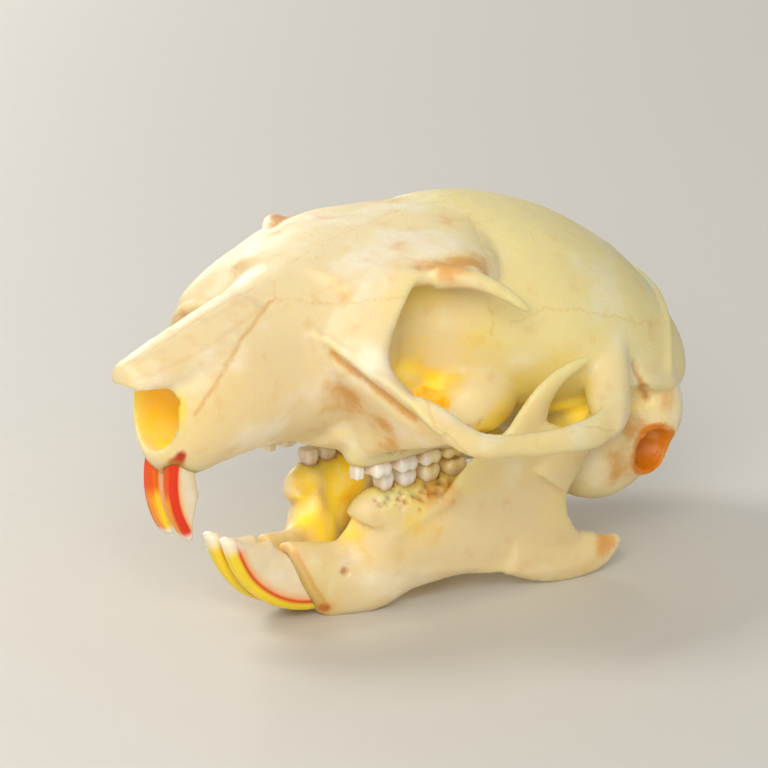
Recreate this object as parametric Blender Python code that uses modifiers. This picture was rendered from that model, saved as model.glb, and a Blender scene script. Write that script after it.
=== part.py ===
"""A red squirrel's skull with its lower jaw and teeth, resting on its chin and the angles of its jaw.

Lengths are in millimetres until each finished mesh is stored in metres. The snout points to -Y, the
skull's left side is +X, and the surface that it rests on is z = 0.
"""

import math

import bmesh
import bpy
from mathutils import Matrix, Vector

MM = 0.001

# Driving dimensions
SNOUT_Y = -25.5  # front tip of the nasal bones
OCCIPUT_Y = 24.6  # rearmost point of the braincase
CROWN_Z = 27.7  # highest point of the braincase
BRAINCASE_X = 11.5  # half of the braincase's width
ARCH_X = 15.2  # half of the width over the cheek arches' middle
BITE_Z = 10.4  # the plane where upper and lower cheek teeth meet
WALL = 1.0  # thickness of the braincase's bone
SEAT_GAP = 0.3  # gap between a piece and what it is seated in or rests on
CENTRE_Y = 0.18  # moves the whole skull so that its middle stands over the origin

# Fineness
BONE_VOXEL = 0.30
BONE_SMOOTHING = 3
CRANIUM_TRIANGLES = 4800
DENTARY_TRIANGLES = 1150
RING_SIDES = 20
STEPS = 3  # rings made between two given sections

BONE_COLOUR = (0.80, 0.66, 0.42, 1.0)
ENAMEL_COLOUR = (0.80, 0.30, 0.04, 1.0)
MOLAR_COLOUR = (0.80, 0.74, 0.62, 1.0)

# Sections across the skull: y, half width, floor, level of the greatest width, roof
BRAINCASE = [
    (-3.0, 3.6, 15.6, 20.0, 25.8),
    (-0.5, 5.8, 13.8, 20.6, 26.7),
    (2.0, 8.1, 12.6, 21.0, CROWN_Z - 0.4),
    (5.0, 9.9, 11.8, 19.6, CROWN_Z),
    (8.0, 11.1, 11.2, 18.2, CROWN_Z - 0.2),
    (11.0, BRAINCASE_X, 10.8, 17.0, 26.8),
    (14.0, 11.3, 10.4, 16.4, 25.6),
    (17.0, 10.7, 10.0, 15.4, 23.9),
    (19.0, 10.1, 9.6, 14.6, 22.2),
    (20.6, 9.3, 9.4, 13.9, 20.2),
    (22.0, 8.1, 9.6, 13.6, 18.4),
    (23.3, 6.2, 9.8, 13.3, 17.0),
    (24.2, 3.8, 10.3, 13.4, 15.8),
    (OCCIPUT_Y, 1.2, 12.4, 13.6, 14.6),
]
ROSTRUM = [
    (-22.9, 1.5, 14.2, 17.0, 20.6),
    (-22.3, 2.4, 13.5, 17.3, 21.2),
    (-21.4, 3.2, 12.9, 17.7, 21.9),
    (-20.0, 3.9, 12.6, 17.8, 22.5),
    (-17.5, 4.7, 13.1, 18.2, 23.3),
    (-14.0, 5.3, 13.4, 18.5, 24.4),
    (-11.0, 6.2, 13.2, 19.5, 25.3),
    (-8.5, 7.0, 13.2, 20.5, 26.0),
    (-6.0, 6.0, 13.6, 21.0, 26.4),
    (-3.0, 4.2, 14.2, 21.0, 26.7),
]
NASALS = [
    (SNOUT_Y, 0.7, 20.0, 20.6, 21.2),
    (-25.2, 1.4, 19.6, 20.5, 21.6),
    (-24.4, 1.9, 19.5, 20.5, 21.8),
    (-23.0, 2.3, 19.4, 20.6, 22.1),
    (-21.0, 2.7, 19.2, 20.9, 22.6),
    (-18.0, 3.0, 19.4, 21.4, 23.5),
    (-14.5, 3.0, 20.4, 22.6, 24.5),
]
FRONTAL_ROOF = [
    (-9.6, 6.0, 23.0, 24.0, 25.7),
    (-7.0, 7.4, 23.4, 24.6, 26.4),
    (-4.8, 8.3, 23.8, 25.1, 26.8),
    (-2.8, 9.0, 23.8, 25.1, 27.1),
    (-0.8, 9.9, 23.4, 24.7, 27.3),
    (1.2, 8.9, 22.4, 24.2, CROWN_Z - 0.2),
    (3.6, 7.6, 21.0, 23.6, CROWN_Z - 0.1),
    (6.2, 6.0, 20.0, 23.0, CROWN_Z - 0.2),
    (9.0, 4.6, 20.0, 22.8, CROWN_Z - 0.9),
]
SKULL_BASE = [
    (-3.0, 3.2, 12.8, 14.2, 17.0),
    (3.0, 3.0, 11.6, 13.0, 15.5),
    (8.0, 2.6, 10.2, 12.0, 14.0),
    (13.0, 2.7, 8.9, 11.0, 13.0),
    (18.0, 3.4, 8.1, 10.0, 12.5),
    (22.6, 3.0, 8.0, 9.2, 10.6),
]
PALATE = [
    (-9.8, 4.4, 12.9, 14.2, 17.5),
    (-8.0, 5.6, 12.2, 13.8, 18.5),
    (-5.0, 6.2, 12.0, 13.8, 18.0),
    (-2.0, 6.2, 12.0, 13.8, 17.0),
    (1.0, 5.9, 12.0, 13.6, 16.5),
    (3.4, 4.6, 12.4, 13.8, 16.0),
]

# Level slices of the plate that carries the cheek arch: height, inner x and y, outer x and y, thickness
CHEEK_PLATE = [
    (12.6, 5.0, -7.6, 6.2, -7.4, 1.4),
    (13.4, 4.6, -7.8, 8.2, -7.6, 1.8),
    (14.4, 4.4, -8.2, 11.8, -7.2, 1.9),
    (15.6, 4.2, -8.8, 14.4, -7.4, 2.0),
    (17.2, 4.0, -9.5, 13.3, -8.6, 2.3),
    (18.8, 4.0, -10.0, 11.9, -9.7, 2.6),
    (20.2, 4.0, -10.4, 10.7, -10.4, 2.9),
    (21.4, 4.0, -10.6, 10.3, -10.3, 3.1),
    (22.6, 4.0, -10.2, 9.8, -9.2, 2.8),
    (23.8, 4.0, -9.4, 9.2, -7.6, 2.4),
    (25.0, 4.0, -8.2, 8.5, -5.8, 2.0),
    (25.9, 4.0, -6.6, 8.2, -4.2, 1.0),
]

# The same for the root that joins the arch to the braincase
ARCH_ROOT = [
    (12.3, 11.8, 10.6, 14.6, 7.4, 0.9),
    (13.0, 10.8, 11.6, 15.2, 6.8, 2.2),
    (13.9, 10.0, 12.2, 15.3, 6.5, 3.0),
    (14.8, 9.4, 12.4, 14.6, 7.1, 3.3),
    (15.5, 9.0, 12.4, 13.5, 8.4, 3.3),
    (16.3, 8.6, 12.6, 12.5, 9.2, 3.5),
    (17.2, 8.2, 12.8, 11.8, 9.9, 3.6),
    (18.4, 7.8, 12.8, 11.2, 10.6, 3.2),
]

# Bars swept through the bone: x, y, z, height and thickness of the section
CHEEK_ARCH = [
    (12.2, -9.4, 18.6, 0.8, 0.6),
    (13.1, -8.5, 17.3, 1.8, 1.3),
    (14.2, -7.0, 15.7, 2.0, 1.4),
    (14.9, -5.4, 14.8, 1.9, 1.3),
    (ARCH_X, -2.6, 14.3, 1.8, 1.2),
    (ARCH_X + 0.3, 0.6, 13.9, 1.9, 1.2),
    (ARCH_X + 0.2, 3.2, 13.7, 2.2, 1.3),
    (ARCH_X - 0.2, 5.8, 13.6, 2.6, 1.4),
    (14.2, 7.8, 13.9, 2.4, 1.4),
]
BROW_SPUR = [
    (8.0, -3.4, 25.2, 2.0, 2.4),
    (9.4, -2.3, 25.2, 1.6, 2.0),
    (10.6, -1.1, 24.7, 1.3, 1.5),
    (11.4, 0.1, 23.9, 1.1, 1.1),
    (11.9, 1.1, 23.0, 0.9, 0.8),
    (12.2, 1.9, 22.3, 0.5, 0.5),
]
EAR_RIDGE = [
    (10.6, 11.2, 16.0, 2.4, 1.6),
    (10.9, 13.8, 14.9, 1.6, 1.2),
    (10.5, 16.4, 14.0, 1.6, 1.2),
    (9.8, 18.6, 13.4, 1.8, 1.2),
]
NAPE_CREST = [
    (0.0, 20.6, 20.3, 1.0, 1.0),
    (3.4, 20.4, 20.2, 1.0, 1.0),
    (6.6, 19.6, 19.6, 1.0, 1.0),
    (9.0, 18.5, 18.2, 1.0, 1.0),
    (10.2, 17.6, 15.8, 1.1, 1.1),
    (10.2, 17.5, 13.2, 1.3, 1.3),
]
NAPE_SPUR = [
    (8.0, 19.6, 11.0, 2.2, 2.0),
    (7.8, 19.8, 8.6, 1.8, 1.7),
    (7.5, 19.6, 6.6, 1.1, 1.1),
]
PALATE_WING = [
    (4.0, 0.6, 13.2, 2.6, 1.6),
    (3.4, 4.0, 12.0, 2.4, 1.1),
    (3.1, 6.6, 10.8, 1.8, 0.9),
    (3.0, 8.8, 9.4, 0.7, 0.6),
]

# Rounded forms: centre x, y, z and half sizes
EAR_BULLA = (6.5, 14.4, 9.0, 3.6, 4.9, 4.2)
MASTOID = (9.0, 18.0, 11.2, 1.7, 2.2, 3.1)
NECK_CONDYLE = (3.3, 23.2, 9.6, 1.5, 2.0, 2.2)
TEMPLE_BULGE = (6.2, 2.4, 14.7, 2.5, 3.4, 2.6)
EAR_TUBE = (9.2, 16.5, 8.8, 1.7, 2.1, 2.2)

# What is cut away: sections across the skull as above, then rounded hollows
NOSE_HOLLOW = [
    (-29.0, 2.3, 14.8, 18.0, 20.1),
    (-23.0, 2.25, 14.9, 18.0, 20.2),
    (-20.5, 2.6, 15.0, 18.0, 20.8),
    (-16.0, 3.3, 15.2, 18.4, 21.6),
    (-11.0, 2.4, 15.8, 18.6, 21.6),
]
NAPE_HOLE = (0.0, 24.0, 12.3, 3.2, 4.2, 2.7)
EAR_HOLE = (11.0, 16.5, 8.6, 2.9, 1.9, 1.7)
JAW_SOCKET = (10.9, 10.6, 12.5, 1.5, 2.3, 1.6)
THROAT_HOLLOW = (0.0, 3.4, 11.6, 1.9, 4.4, 1.5)
PALATE_HOLLOW = (0.0, -3.6, 10.9, 3.1, 7.5, 2.2)
EYE_VESSEL_HOLES = [
    (5.6, -1.6, 15.2, 1.3, 0.95, 0.9),
    (5.6, -5.9, 15.9, 1.2, 0.9, 0.8),
]
SNOUT_NERVE_HOLE = (6.0, -12.4, 15.0, 1.2, 0.45, 0.8)

# The left half of the lower jaw
JAW_BODY = [
    (1.1, -11.35, 5.4, 0.9, 1.4),
    (1.2, -11.05, 4.95, 1.9, 2.0),
    (1.3, -10.6, 4.32, 3.0, 2.4),
    (1.45, -10.0, 3.72, 4.0, 2.7),
    (1.65, -9.2, 3.15, 4.9, 2.9),
    (1.8, -8.3, 2.7, 5.5, 3.1),
    (2.3, -7.0, 2.6, 5.7, 3.2),
    (2.8, -6.1, 3.22, 6.75, 3.5),
    (3.2, -5.2, 4.05, 8.3, 3.8),
    (3.7, -4.0, 4.4, 8.3, 3.6),
    (4.4, -2.2, 4.9, 7.6, 3.3),
    (5.4, 0.6, 5.3, 7.4, 3.0),
    (6.5, 3.6, 5.4, 7.6, 2.4),
    (7.6, 6.6, 5.2, 7.4, 1.7),
]
LOWER_TOOTH_BED = [
    (3.5, -5.65, 6.7, 3.0, 1.9),
    (3.6, -5.4, 7.0, 4.0, 2.6),
    (3.9, -3.8, 7.3, 4.2, 3.2),
    (4.3, -1.0, 7.3, 4.3, 3.3),
    (4.7, 1.8, 7.4, 4.2, 3.2),
    (5.0, 3.4, 7.4, 3.4, 2.2),
]
# Level slices of the upright plate: height, front x and y, rear x and y, thickness
JAW_PLATE = [
    (1.6, 6.0, 2.0, 8.3, 11.6, 1.6),
    (3.2, 5.6, 0.6, 8.8, 10.6, 1.7),
    (5.2, 5.3, -0.6, 9.1, 9.0, 1.6),
    (7.2, 5.9, -0.9, 9.5, 8.5, 1.5),
    (9.2, 7.0, -0.6, 10.0, 9.0, 1.4),
    (11.0, 8.2, -0.3, 10.6, 9.7, 1.3),
    (12.4, 9.5, 0.5, 11.0, 7.2, 1.2),
    (13.4, 10.4, 1.0, 11.2, 5.0, 1.1),
]
# Sections along the hook and neck: x, y, z, breadth from front to back, thickness
CORONOID_HOOK = [
    (10.3, 2.8, 12.6, 4.2, 1.3),
    (11.1, 3.0, 14.2, 3.4, 1.1),
    (11.6, 3.5, 15.6, 2.4, 1.0),
    (11.9, 4.7, 16.8, 1.6, 0.85),
    (12.1, 6.3, 17.5, 1.1, 0.7),
    (12.2, 7.9, 17.8, 0.5, 0.45),
]
CONDYLE_NECK = [
    (9.6, 6.6, 8.2, 4.2, 1.5),
    (10.1, 8.2, 10.4, 3.3, 1.4),
    (10.6, 9.5, 11.8, 2.3, 1.2),
    (10.8, 10.4, 12.7, 1.8, 1.2),
]
JAW_CONDYLE = (10.9, 10.6, 12.8, 0.9, 1.6, 0.8)
JAW_ANGLE = [
    (7.2, 5.0, 3.4, 4.4, 1.8),
    (7.8, 8.0, 2.5, 4.8, 1.8),
    (8.2, 10.2, 1.7, 4.0, 1.7),
    (8.7, 12.4, 1.7, 2.8, 1.4),
    (9.0, 13.5, 2.1, 1.5, 1.1),
    (9.0, 14.2, 2.4, 0.7, 0.7),
]

# Incisors run along arcs about a centre (y, z): radius to the middle, start and end angle, depth, width
UPPER_INCISOR = dict(
    centre=(-15.8, 12.6), radius=5.3, tip=221, root=163, depth=2.5, width=1.5, x=1.02, splay=0.0, wear=2.0,
)
LOWER_INCISOR = dict(
    centre=(-8.5, 9.3), radius=6.9, tip=194, root=278, depth=3.7, width=1.3, x=0.86, splay=1.2, wear=2.9,
)

# Cheek teeth: name, x, y of the crown's middle, length along the row
UPPER_CHEEK_TEETH = [
    ("premolar_3", 4.5, -7.6, 0.9),
    ("premolar_4", 4.8, -6.0, 1.9),
    ("molar_1", 5.0, -3.8, 2.1),
    ("molar_2", 5.0, -1.5, 2.1),
    ("molar_3", 4.9, 0.8, 2.1),
]
LOWER_CHEEK_TEETH = [
    ("premolar_4", 3.85, -4.4, 1.3),
    ("molar_1", 4.1, -2.75, 1.7),
    ("molar_2", 4.35, -0.8, 1.9),
    ("molar_3", 4.65, 1.45, 2.2),
]
UPPER_TOOTH_WIDTH = 2.4
LOWER_TOOTH_WIDTH = 2.0
TOOTH_CROWN = 1.5
TOOTH_LEVELS = (-1.4, 0.3, 0.95, TOOTH_CROWN)  # heights of the root's foot, neck, widest place and cusps
TOOTH_SPREAD = (0.55, 0.8, 1.0, 0.86)  # share of the full width at each of those heights
BASIN_DEPTH = 0.35
UPPER_TOOTH_BED = [
    (4.4, -8.6, 13.2, 2.4, 1.6),
    (4.6, -7.8, 13.2, 3.4, 2.8),
    (4.9, -5.4, 13.2, 3.6, 3.9),
    (5.0, -1.5, 13.2, 3.6, 4.0),
    (5.1, 1.2, 13.0, 3.9, 4.2),
    (5.2, 3.0, 12.8, 3.6, 3.6),
    (5.0, 4.6, 12.9, 2.4, 2.0),
]


def clear_scene():
    for obj in list(bpy.data.objects):
        bpy.data.objects.remove(obj)


def new_collection(name):
    collection = bpy.data.collections.new(name)
    bpy.context.scene.collection.children.link(collection)
    return collection


def new_material(name, colour, roughness):
    material = bpy.data.materials.new(name)
    material.use_nodes = True
    shader = material.node_tree.nodes["Principled BSDF"]
    shader.inputs["Base Color"].default_value = colour
    shader.inputs["Roughness"].default_value = roughness
    shader.inputs["Metallic"].default_value = 0.0
    return material


def smooth_rows(rows, steps=STEPS):
    """The rows with others between them, on a smooth curve through each column."""
    out = []
    last = len(rows) - 1
    for i in range(last):
        before, start, end, after = (rows[min(max(i + k, 0), last)] for k in (-1, 0, 1, 2))
        for step in range(steps):
            t = step / steps
            out.append([
                0.5 * (2 * b + (c - a) * t + (2 * a - 5 * b + 4 * c - d) * t**2 + (3 * b - a - 3 * c + d) * t**3)
                for a, b, c, d in zip(before, start, end, after)
            ])
    out.append(list(rows[-1]))
    return out


def loft(bm, rings):
    """A closed skin through rings that have the same number of points."""
    count = len(rings[0])
    made = bmesh.ops.create_circle(bm, segments=count, radius=1.0)["verts"]
    for vert, place in zip(made, rings[0]):
        vert.co = place
    ring = list(made)
    first = [bm.edges.get((ring[i - 1], ring[i])) for i in range(count)]
    edges = first
    for places in rings[1:]:
        grown = bmesh.ops.extrude_edge_only(bm, edges=edges)["geom"]
        fresh = {item for item in grown if isinstance(item, bmesh.types.BMVert)}
        ring = [next(e.other_vert(v) for e in v.link_edges if e.other_vert(v) in fresh) for v in ring]
        for vert, place in zip(ring, places):
            vert.co = place
        edges = [bm.edges.get((ring[i - 1], ring[i])) for i in range(count)]
    for end in (first, edges):
        bmesh.ops.contextual_create(bm, geom=end)


def angles(sides=RING_SIDES):
    return [2 * math.pi * i / sides for i in range(sides)]


def across(bm, rows, sides=28):
    """A form given by upright sections across the skull."""
    rings = []
    for y, half_width, floor, level, roof in smooth_rows(rows):
        rings.append([
            Vector((
                half_width * math.cos(a),
                y,
                level + math.sin(a) * (roof - level if math.sin(a) > 0 else level - floor),
            ))
            for a in angles(sides)
        ])
    loft(bm, rings)


def slices(bm, rows, side, sides=RING_SIDES):
    """A plate given by level slices, each a flat ellipse between two ends."""
    rings = []
    for z, x1, y1, x2, y2, thickness in smooth_rows(rows):
        near = Vector((side * x1, y1, z))
        far = Vector((side * x2, y2, z))
        along = (far - near) / 2
        aside = Vector((-along.y, along.x, 0)).normalized() * thickness / 2
        rings.append([(near + far) / 2 + along * math.cos(a) + aside * math.sin(a) for a in angles(sides)])
    loft(bm, rings)


def sweep(bm, rows, side, tall_axis=Vector((0, 0, 1)), sides=12, upright=False):
    """A bar through the given places, its sections square to its run, or upright across the skull.

    A section's height lies along tall_axis as far as that allows.
    """
    rows = smooth_rows(rows)
    middles = [Vector((side * x, y, z)) for x, y, z, _, _ in rows]
    rings = []
    for i, (_, _, _, tall, thick) in enumerate(rows):
        run = (middles[min(i + 1, len(rows) - 1)] - middles[max(i - 1, 0)]).normalized()
        if upright:
            run = Vector((0, 1, 0))
        flat = run.cross(tall_axis).normalized()
        high = flat.cross(run).normalized()
        rings.append([
            middles[i] + high * math.sin(a) * tall / 2 + flat * math.cos(a) * thick / 2 for a in angles(sides)
        ])
    loft(bm, rings)


def ball(bm, form, side=1):
    x, y, z, half_x, half_y, half_z = form
    place = Matrix.Translation((side * x, y, z)) @ Matrix.Diagonal((half_x, half_y, half_z, 1))
    bmesh.ops.create_uvsphere(bm, u_segments=24, v_segments=14, radius=1, matrix=place)


def mesh_of(bm, name):
    bmesh.ops.recalc_face_normals(bm, faces=bm.faces[:])
    mesh = bpy.data.meshes.new(name)
    bm.to_mesh(mesh)
    bm.free()
    return mesh


def changed(mesh, make_modifiers):
    """The mesh as it comes out of the modifiers that make_modifiers adds."""
    obj = bpy.data.objects.new(mesh.name, mesh)
    bpy.context.scene.collection.objects.link(obj)
    make_modifiers(obj)
    graph = bpy.context.evaluated_depsgraph_get()
    result = bpy.data.meshes.new_from_object(obj.evaluated_get(graph))
    result.name = mesh.name
    bpy.data.objects.remove(obj)
    return result


def fused(mesh, voxel=BONE_VOXEL, smoothing=BONE_SMOOTHING):
    """Overlapping forms grown into one skin, with the joins rounded."""

    def modifiers(obj):
        remesh = obj.modifiers.new("Fuse", "REMESH")
        remesh.mode = "VOXEL"
        remesh.voxel_size = voxel
        smooth = obj.modifiers.new("Round", "SMOOTH")
        smooth.factor = 0.5
        smooth.iterations = smoothing

    return changed(mesh, modifiers)


def thinned(mesh, triangles):
    """The mesh with about this many triangles."""
    faces = sum(len(p.vertices) - 2 for p in mesh.polygons)

    def modifiers(obj):
        thin = obj.modifiers.new("Thin", "DECIMATE")
        thin.ratio = min(1.0, triangles / faces)

    return changed(mesh, modifiers)


def rested(mesh):
    """The mesh with what passes below the resting surface worn flat."""
    bm = bmesh.new()
    bm.from_mesh(mesh)
    geometry = bm.verts[:] + bm.edges[:] + bm.faces[:]
    bmesh.ops.bisect_plane(bm, geom=geometry, dist=0.00001, plane_no=(0, 0, -1), clear_outer=True)
    bmesh.ops.holes_fill(bm, edges=[e for e in bm.edges if e.is_boundary], sides=0)
    bmesh.ops.triangulate(bm, faces=[f for f in bm.faces if len(f.verts) > 4])
    return mesh_of(bm, mesh.name)


def combined(mesh, other, operation):
    helper = bpy.data.objects.new("helper", other)
    bpy.context.scene.collection.objects.link(helper)

    def modifiers(obj):
        boolean = obj.modifiers.new("Combine", "BOOLEAN")
        boolean.operation = operation
        boolean.solver = "EXACT"
        boolean.use_self = False
        boolean.object = helper

    result = changed(mesh, modifiers)
    bpy.data.objects.remove(helper)
    return result


def finish(mesh, name, collection, material, smooth=True):
    """Stores a finished mesh in metres as a node of the model."""
    mesh.transform(Matrix.Translation((0, CENTRE_Y, 0)))
    mesh.transform(Matrix.Scale(MM, 4))
    mesh.materials.clear()
    mesh.materials.append(material)
    if smooth:
        mesh.shade_smooth()
    obj = bpy.data.objects.new(name, mesh)
    collection.objects.link(obj)
    return obj


def cranium_forms():
    bm = bmesh.new()
    for rows in (BRAINCASE, ROSTRUM, NASALS, FRONTAL_ROOF, SKULL_BASE, PALATE):
        across(bm, rows)
    for side in (1, -1):
        slices(bm, CHEEK_PLATE, side)
        slices(bm, ARCH_ROOT, side)
        for rows in (CHEEK_ARCH, BROW_SPUR, EAR_RIDGE, PALATE_WING):
            sweep(bm, rows, side)
        sweep(bm, UPPER_TOOTH_BED, side, sides=RING_SIDES)
        for rows in (NAPE_CREST, NAPE_SPUR):
            sweep(bm, rows, side, tall_axis=Vector((0, 1, 0)))
        for form in (EAR_BULLA, MASTOID, NECK_CONDYLE, TEMPLE_BULGE, EAR_TUBE):
            ball(bm, form, side)
    return mesh_of(bm, "cranium")


def cranium_hollows():
    """What is open in the bone: the nose, the brain's space, the ears, the throat and the larger nerve holes."""
    bm = bmesh.new()
    across(bm, NOSE_HOLLOW)
    space = [
        (y, width - WALL, floor + 2 * WALL, level, roof - WALL)
        for y, width, floor, level, roof in BRAINCASE[2:-2]
    ]
    across(bm, space)
    for form in (NAPE_HOLE, THROAT_HOLLOW, PALATE_HOLLOW):
        ball(bm, form)
    for side in (1, -1):
        for form in (EAR_HOLE, JAW_SOCKET, SNOUT_NERVE_HOLE, *EYE_VESSEL_HOLES):
            ball(bm, form, side)
    return mesh_of(bm, "hollows")


def dentary_forms(side):
    front_to_back = Vector((0, 1, 0))
    bm = bmesh.new()
    sweep(bm, JAW_BODY, side, sides=RING_SIDES, upright=True)
    sweep(bm, LOWER_TOOTH_BED, side, sides=RING_SIDES)
    slices(bm, JAW_PLATE, side)
    sweep(bm, CORONOID_HOOK, side, tall_axis=front_to_back)
    sweep(bm, CONDYLE_NECK, side, tall_axis=front_to_back)
    sweep(bm, JAW_ANGLE, side)
    ball(bm, JAW_CONDYLE, side)
    return mesh_of(bm, "dentary")


def incisor_mesh(tooth, side, swell=0.0):
    """A tooth curved along an arc, worn to a chisel edge at its outer, enamelled face."""
    cy, cz = tooth["centre"]
    count = 12
    rings = []
    for i in range(count + 1):
        share = i / count
        turn = math.radians(tooth["tip"] + (tooth["root"] - tooth["tip"]) * share)
        out = Vector((0, math.cos(turn), math.sin(turn)))
        wear = min(1.0, 0.2 + tooth["wear"] * share)
        taper = 1.0 - 0.2 * max(0.0, share - 0.5)
        depth = tooth["depth"] * wear * taper + 2 * swell
        width = tooth["width"] * (0.86 + 0.14 * min(1.0, 5 * share)) * taper + 2 * swell
        outer = tooth["radius"] + tooth["depth"] / 2 + swell
        aside = tooth["x"] + tooth["splay"] * max(0.0, share - 0.35)
        middle = Vector((side * aside, cy, cz)) + out * (outer - depth / 2)
        rings.append([
            middle
            + Vector((width / 2 * math.copysign(abs(math.cos(a)) ** 0.7, math.cos(a)), 0, 0))
            + out * (depth / 2 * math.copysign(abs(math.sin(a)) ** 0.7, math.sin(a)))
            for a in angles(10)
        ])
    bm = bmesh.new()
    loft(bm, rings)
    return mesh_of(bm, "incisor")


def tooth_width(length, width):
    return min(width, length * 1.1)


def cheek_tooth_mesh(x, y, length, width, up, side):
    """A low crown with a basin on a root block. up is 1 for a lower tooth and -1 for an upper one."""
    bm = bmesh.new()
    bmesh.ops.create_cube(bm, size=1.0)
    upright = [e for e in bm.edges if abs(e.verts[0].co.z - e.verts[1].co.z) > 0.5]
    bmesh.ops.subdivide_edges(bm, edges=upright, cuts=2)
    top = [f for f in bm.faces if f.calc_center_median().z > 0.49]
    bmesh.ops.poke(bm, faces=top)
    for vert in bm.verts:
        basin = abs(vert.co.x) < 0.01
        level = round((vert.co.z + 0.5) * 3)
        height = TOOTH_LEVELS[level] - (BASIN_DEPTH if basin else 0.0)
        vert.co = Vector((
            side * x + vert.co.x * tooth_width(length, width) * TOOTH_SPREAD[level],
            y + vert.co.y * length * TOOTH_SPREAD[level],
            BITE_Z + up * (height - TOOTH_CROWN - SEAT_GAP / 2),
        ))
    return mesh_of(bm, "cheek_tooth")


def tooth_trough(row, width, up, side):
    """The trough in the jaw that a row of cheek teeth is seated in."""
    places = []
    for name, x, y, length in row:
        for end in (-0.5, 0.5):
            places.append((x, y + end * length, tooth_width(length, width)))
    x, y, wide = places[0]
    places[0] = (x, y - SEAT_GAP, wide)
    x, y, wide = places[-1]
    places[-1] = (x, y + SEAT_GAP, wide)
    mouth = BITE_Z + up * 0.3
    bed = BITE_Z - up * (TOOTH_CROWN - TOOTH_LEVELS[0] + 1.5 * SEAT_GAP)
    bm = bmesh.new()
    rings = []
    for x, y, wide in places:
        rim = wide / 2 * TOOTH_SPREAD[2] + SEAT_GAP
        foot = wide / 2 * TOOTH_SPREAD[0] + SEAT_GAP
        rings.append([
            Vector((side * (x - rim), y, mouth)),
            Vector((side * (x + rim), y, mouth)),
            Vector((side * (x + foot), y, bed)),
            Vector((side * (x - foot), y, bed)),
        ])
    loft(bm, rings)
    return mesh_of(bm, "trough")


def teeth(side, upper):
    """The teeth of one side of a jaw by name, and the shapes of their seats."""
    where = "left" if side > 0 else "right"
    jaw = "upper" if upper else "lower"
    row = UPPER_CHEEK_TEETH if upper else LOWER_CHEEK_TEETH
    width = UPPER_TOOTH_WIDTH if upper else LOWER_TOOTH_WIDTH
    incisor = UPPER_INCISOR if upper else LOWER_INCISOR
    up = -1 if upper else 1
    made = {f"{jaw}_{where}_incisor": incisor_mesh(incisor, side)}
    for name, x, y, length in row:
        made[f"{jaw}_{where}_{name}"] = cheek_tooth_mesh(x, y, length, width, up, side)
    seats = [incisor_mesh(incisor, side, SEAT_GAP), tooth_trough(row, width, up, side)]
    return made, seats


def main():
    clear_scene()
    model = new_collection("Squirrel skull")
    bone = new_material("Bone", BONE_COLOUR, 0.5)
    enamel = new_material("Orange enamel", ENAMEL_COLOUR, 0.25)
    molar = new_material("Cheek tooth enamel", MOLAR_COLOUR, 0.3)

    hollows = fused(cranium_hollows(), smoothing=1)
    cranium = fused(combined(fused(cranium_forms()), hollows, "DIFFERENCE"), smoothing=1)
    cranium = thinned(cranium, CRANIUM_TRIANGLES)
    for side in (1, -1):
        where = "left" if side > 0 else "right"
        upper, upper_seats = teeth(side, True)
        lower, lower_seats = teeth(side, False)
        dentary = rested(thinned(fused(dentary_forms(side)), DENTARY_TRIANGLES))
        for seat in lower_seats:
            dentary = combined(dentary, seat, "DIFFERENCE")
        for seat in upper_seats:
            cranium = combined(cranium, seat, "DIFFERENCE")
        finish(dentary, f"{where}_dentary", model, bone)
        for name, mesh in (upper | lower).items():
            finish(mesh, name, model, enamel if "incisor" in name else molar, smooth="incisor" in name)
    finish(cranium, "cranium", model, bone)


if __name__ == "__main__":
    main()
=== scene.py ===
"""A red squirrel's dry skull: fine bone with its seams, pits and stains, orange incisors and cheek teeth.

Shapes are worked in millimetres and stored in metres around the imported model. The snout points to -Y and
the skull's left side is +X.
"""

import math

import bmesh
import bpy
import numpy as np
from bpy.props import FloatProperty, FloatVectorProperty, IntProperty, PointerProperty
from mathutils import Matrix, Vector, noise
from mathutils.bvhtree import BVHTree
from mathutils.kdtree import KDTree


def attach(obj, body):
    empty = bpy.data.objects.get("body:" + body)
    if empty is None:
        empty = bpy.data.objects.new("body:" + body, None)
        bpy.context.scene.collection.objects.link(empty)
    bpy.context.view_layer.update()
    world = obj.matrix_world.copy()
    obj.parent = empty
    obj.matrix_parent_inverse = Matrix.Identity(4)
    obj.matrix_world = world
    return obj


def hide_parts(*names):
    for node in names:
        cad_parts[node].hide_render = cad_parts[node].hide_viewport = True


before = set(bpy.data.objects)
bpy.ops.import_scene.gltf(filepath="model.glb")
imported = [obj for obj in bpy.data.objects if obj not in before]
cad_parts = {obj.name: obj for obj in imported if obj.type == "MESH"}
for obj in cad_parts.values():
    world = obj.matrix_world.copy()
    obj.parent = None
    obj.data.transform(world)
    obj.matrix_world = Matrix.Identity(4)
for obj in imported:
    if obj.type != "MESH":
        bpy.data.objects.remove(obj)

bl_info = {
    "name": "Squirrel skull",
    "version": (1, 0, 0),
    "blender": (4, 5, 0),
    "location": "3D View > Sidebar > Skull",
    "description": "Builds a squirrel's skull in fine bone and enamel around its packed model",
    "category": "Object",
}

MM = 0.001
BODY = "root"

# Places and sizes of the bones, in millimetres
SNOUT_Y = -25.5
OCCIPUT_Y = 24.6
CROWN_Z = 27.7
BRAINCASE_X = 11.5
ARCH_X = 15.2
BITE_Z = 10.4
WALL = 1.0
CENTRE_Y = 0.18

# Rows laid on a smooth curve for each one given, and triangles of the coarse bones that rays meet
STEPS = 3
WALL_TRIANGLES = 24000

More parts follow.
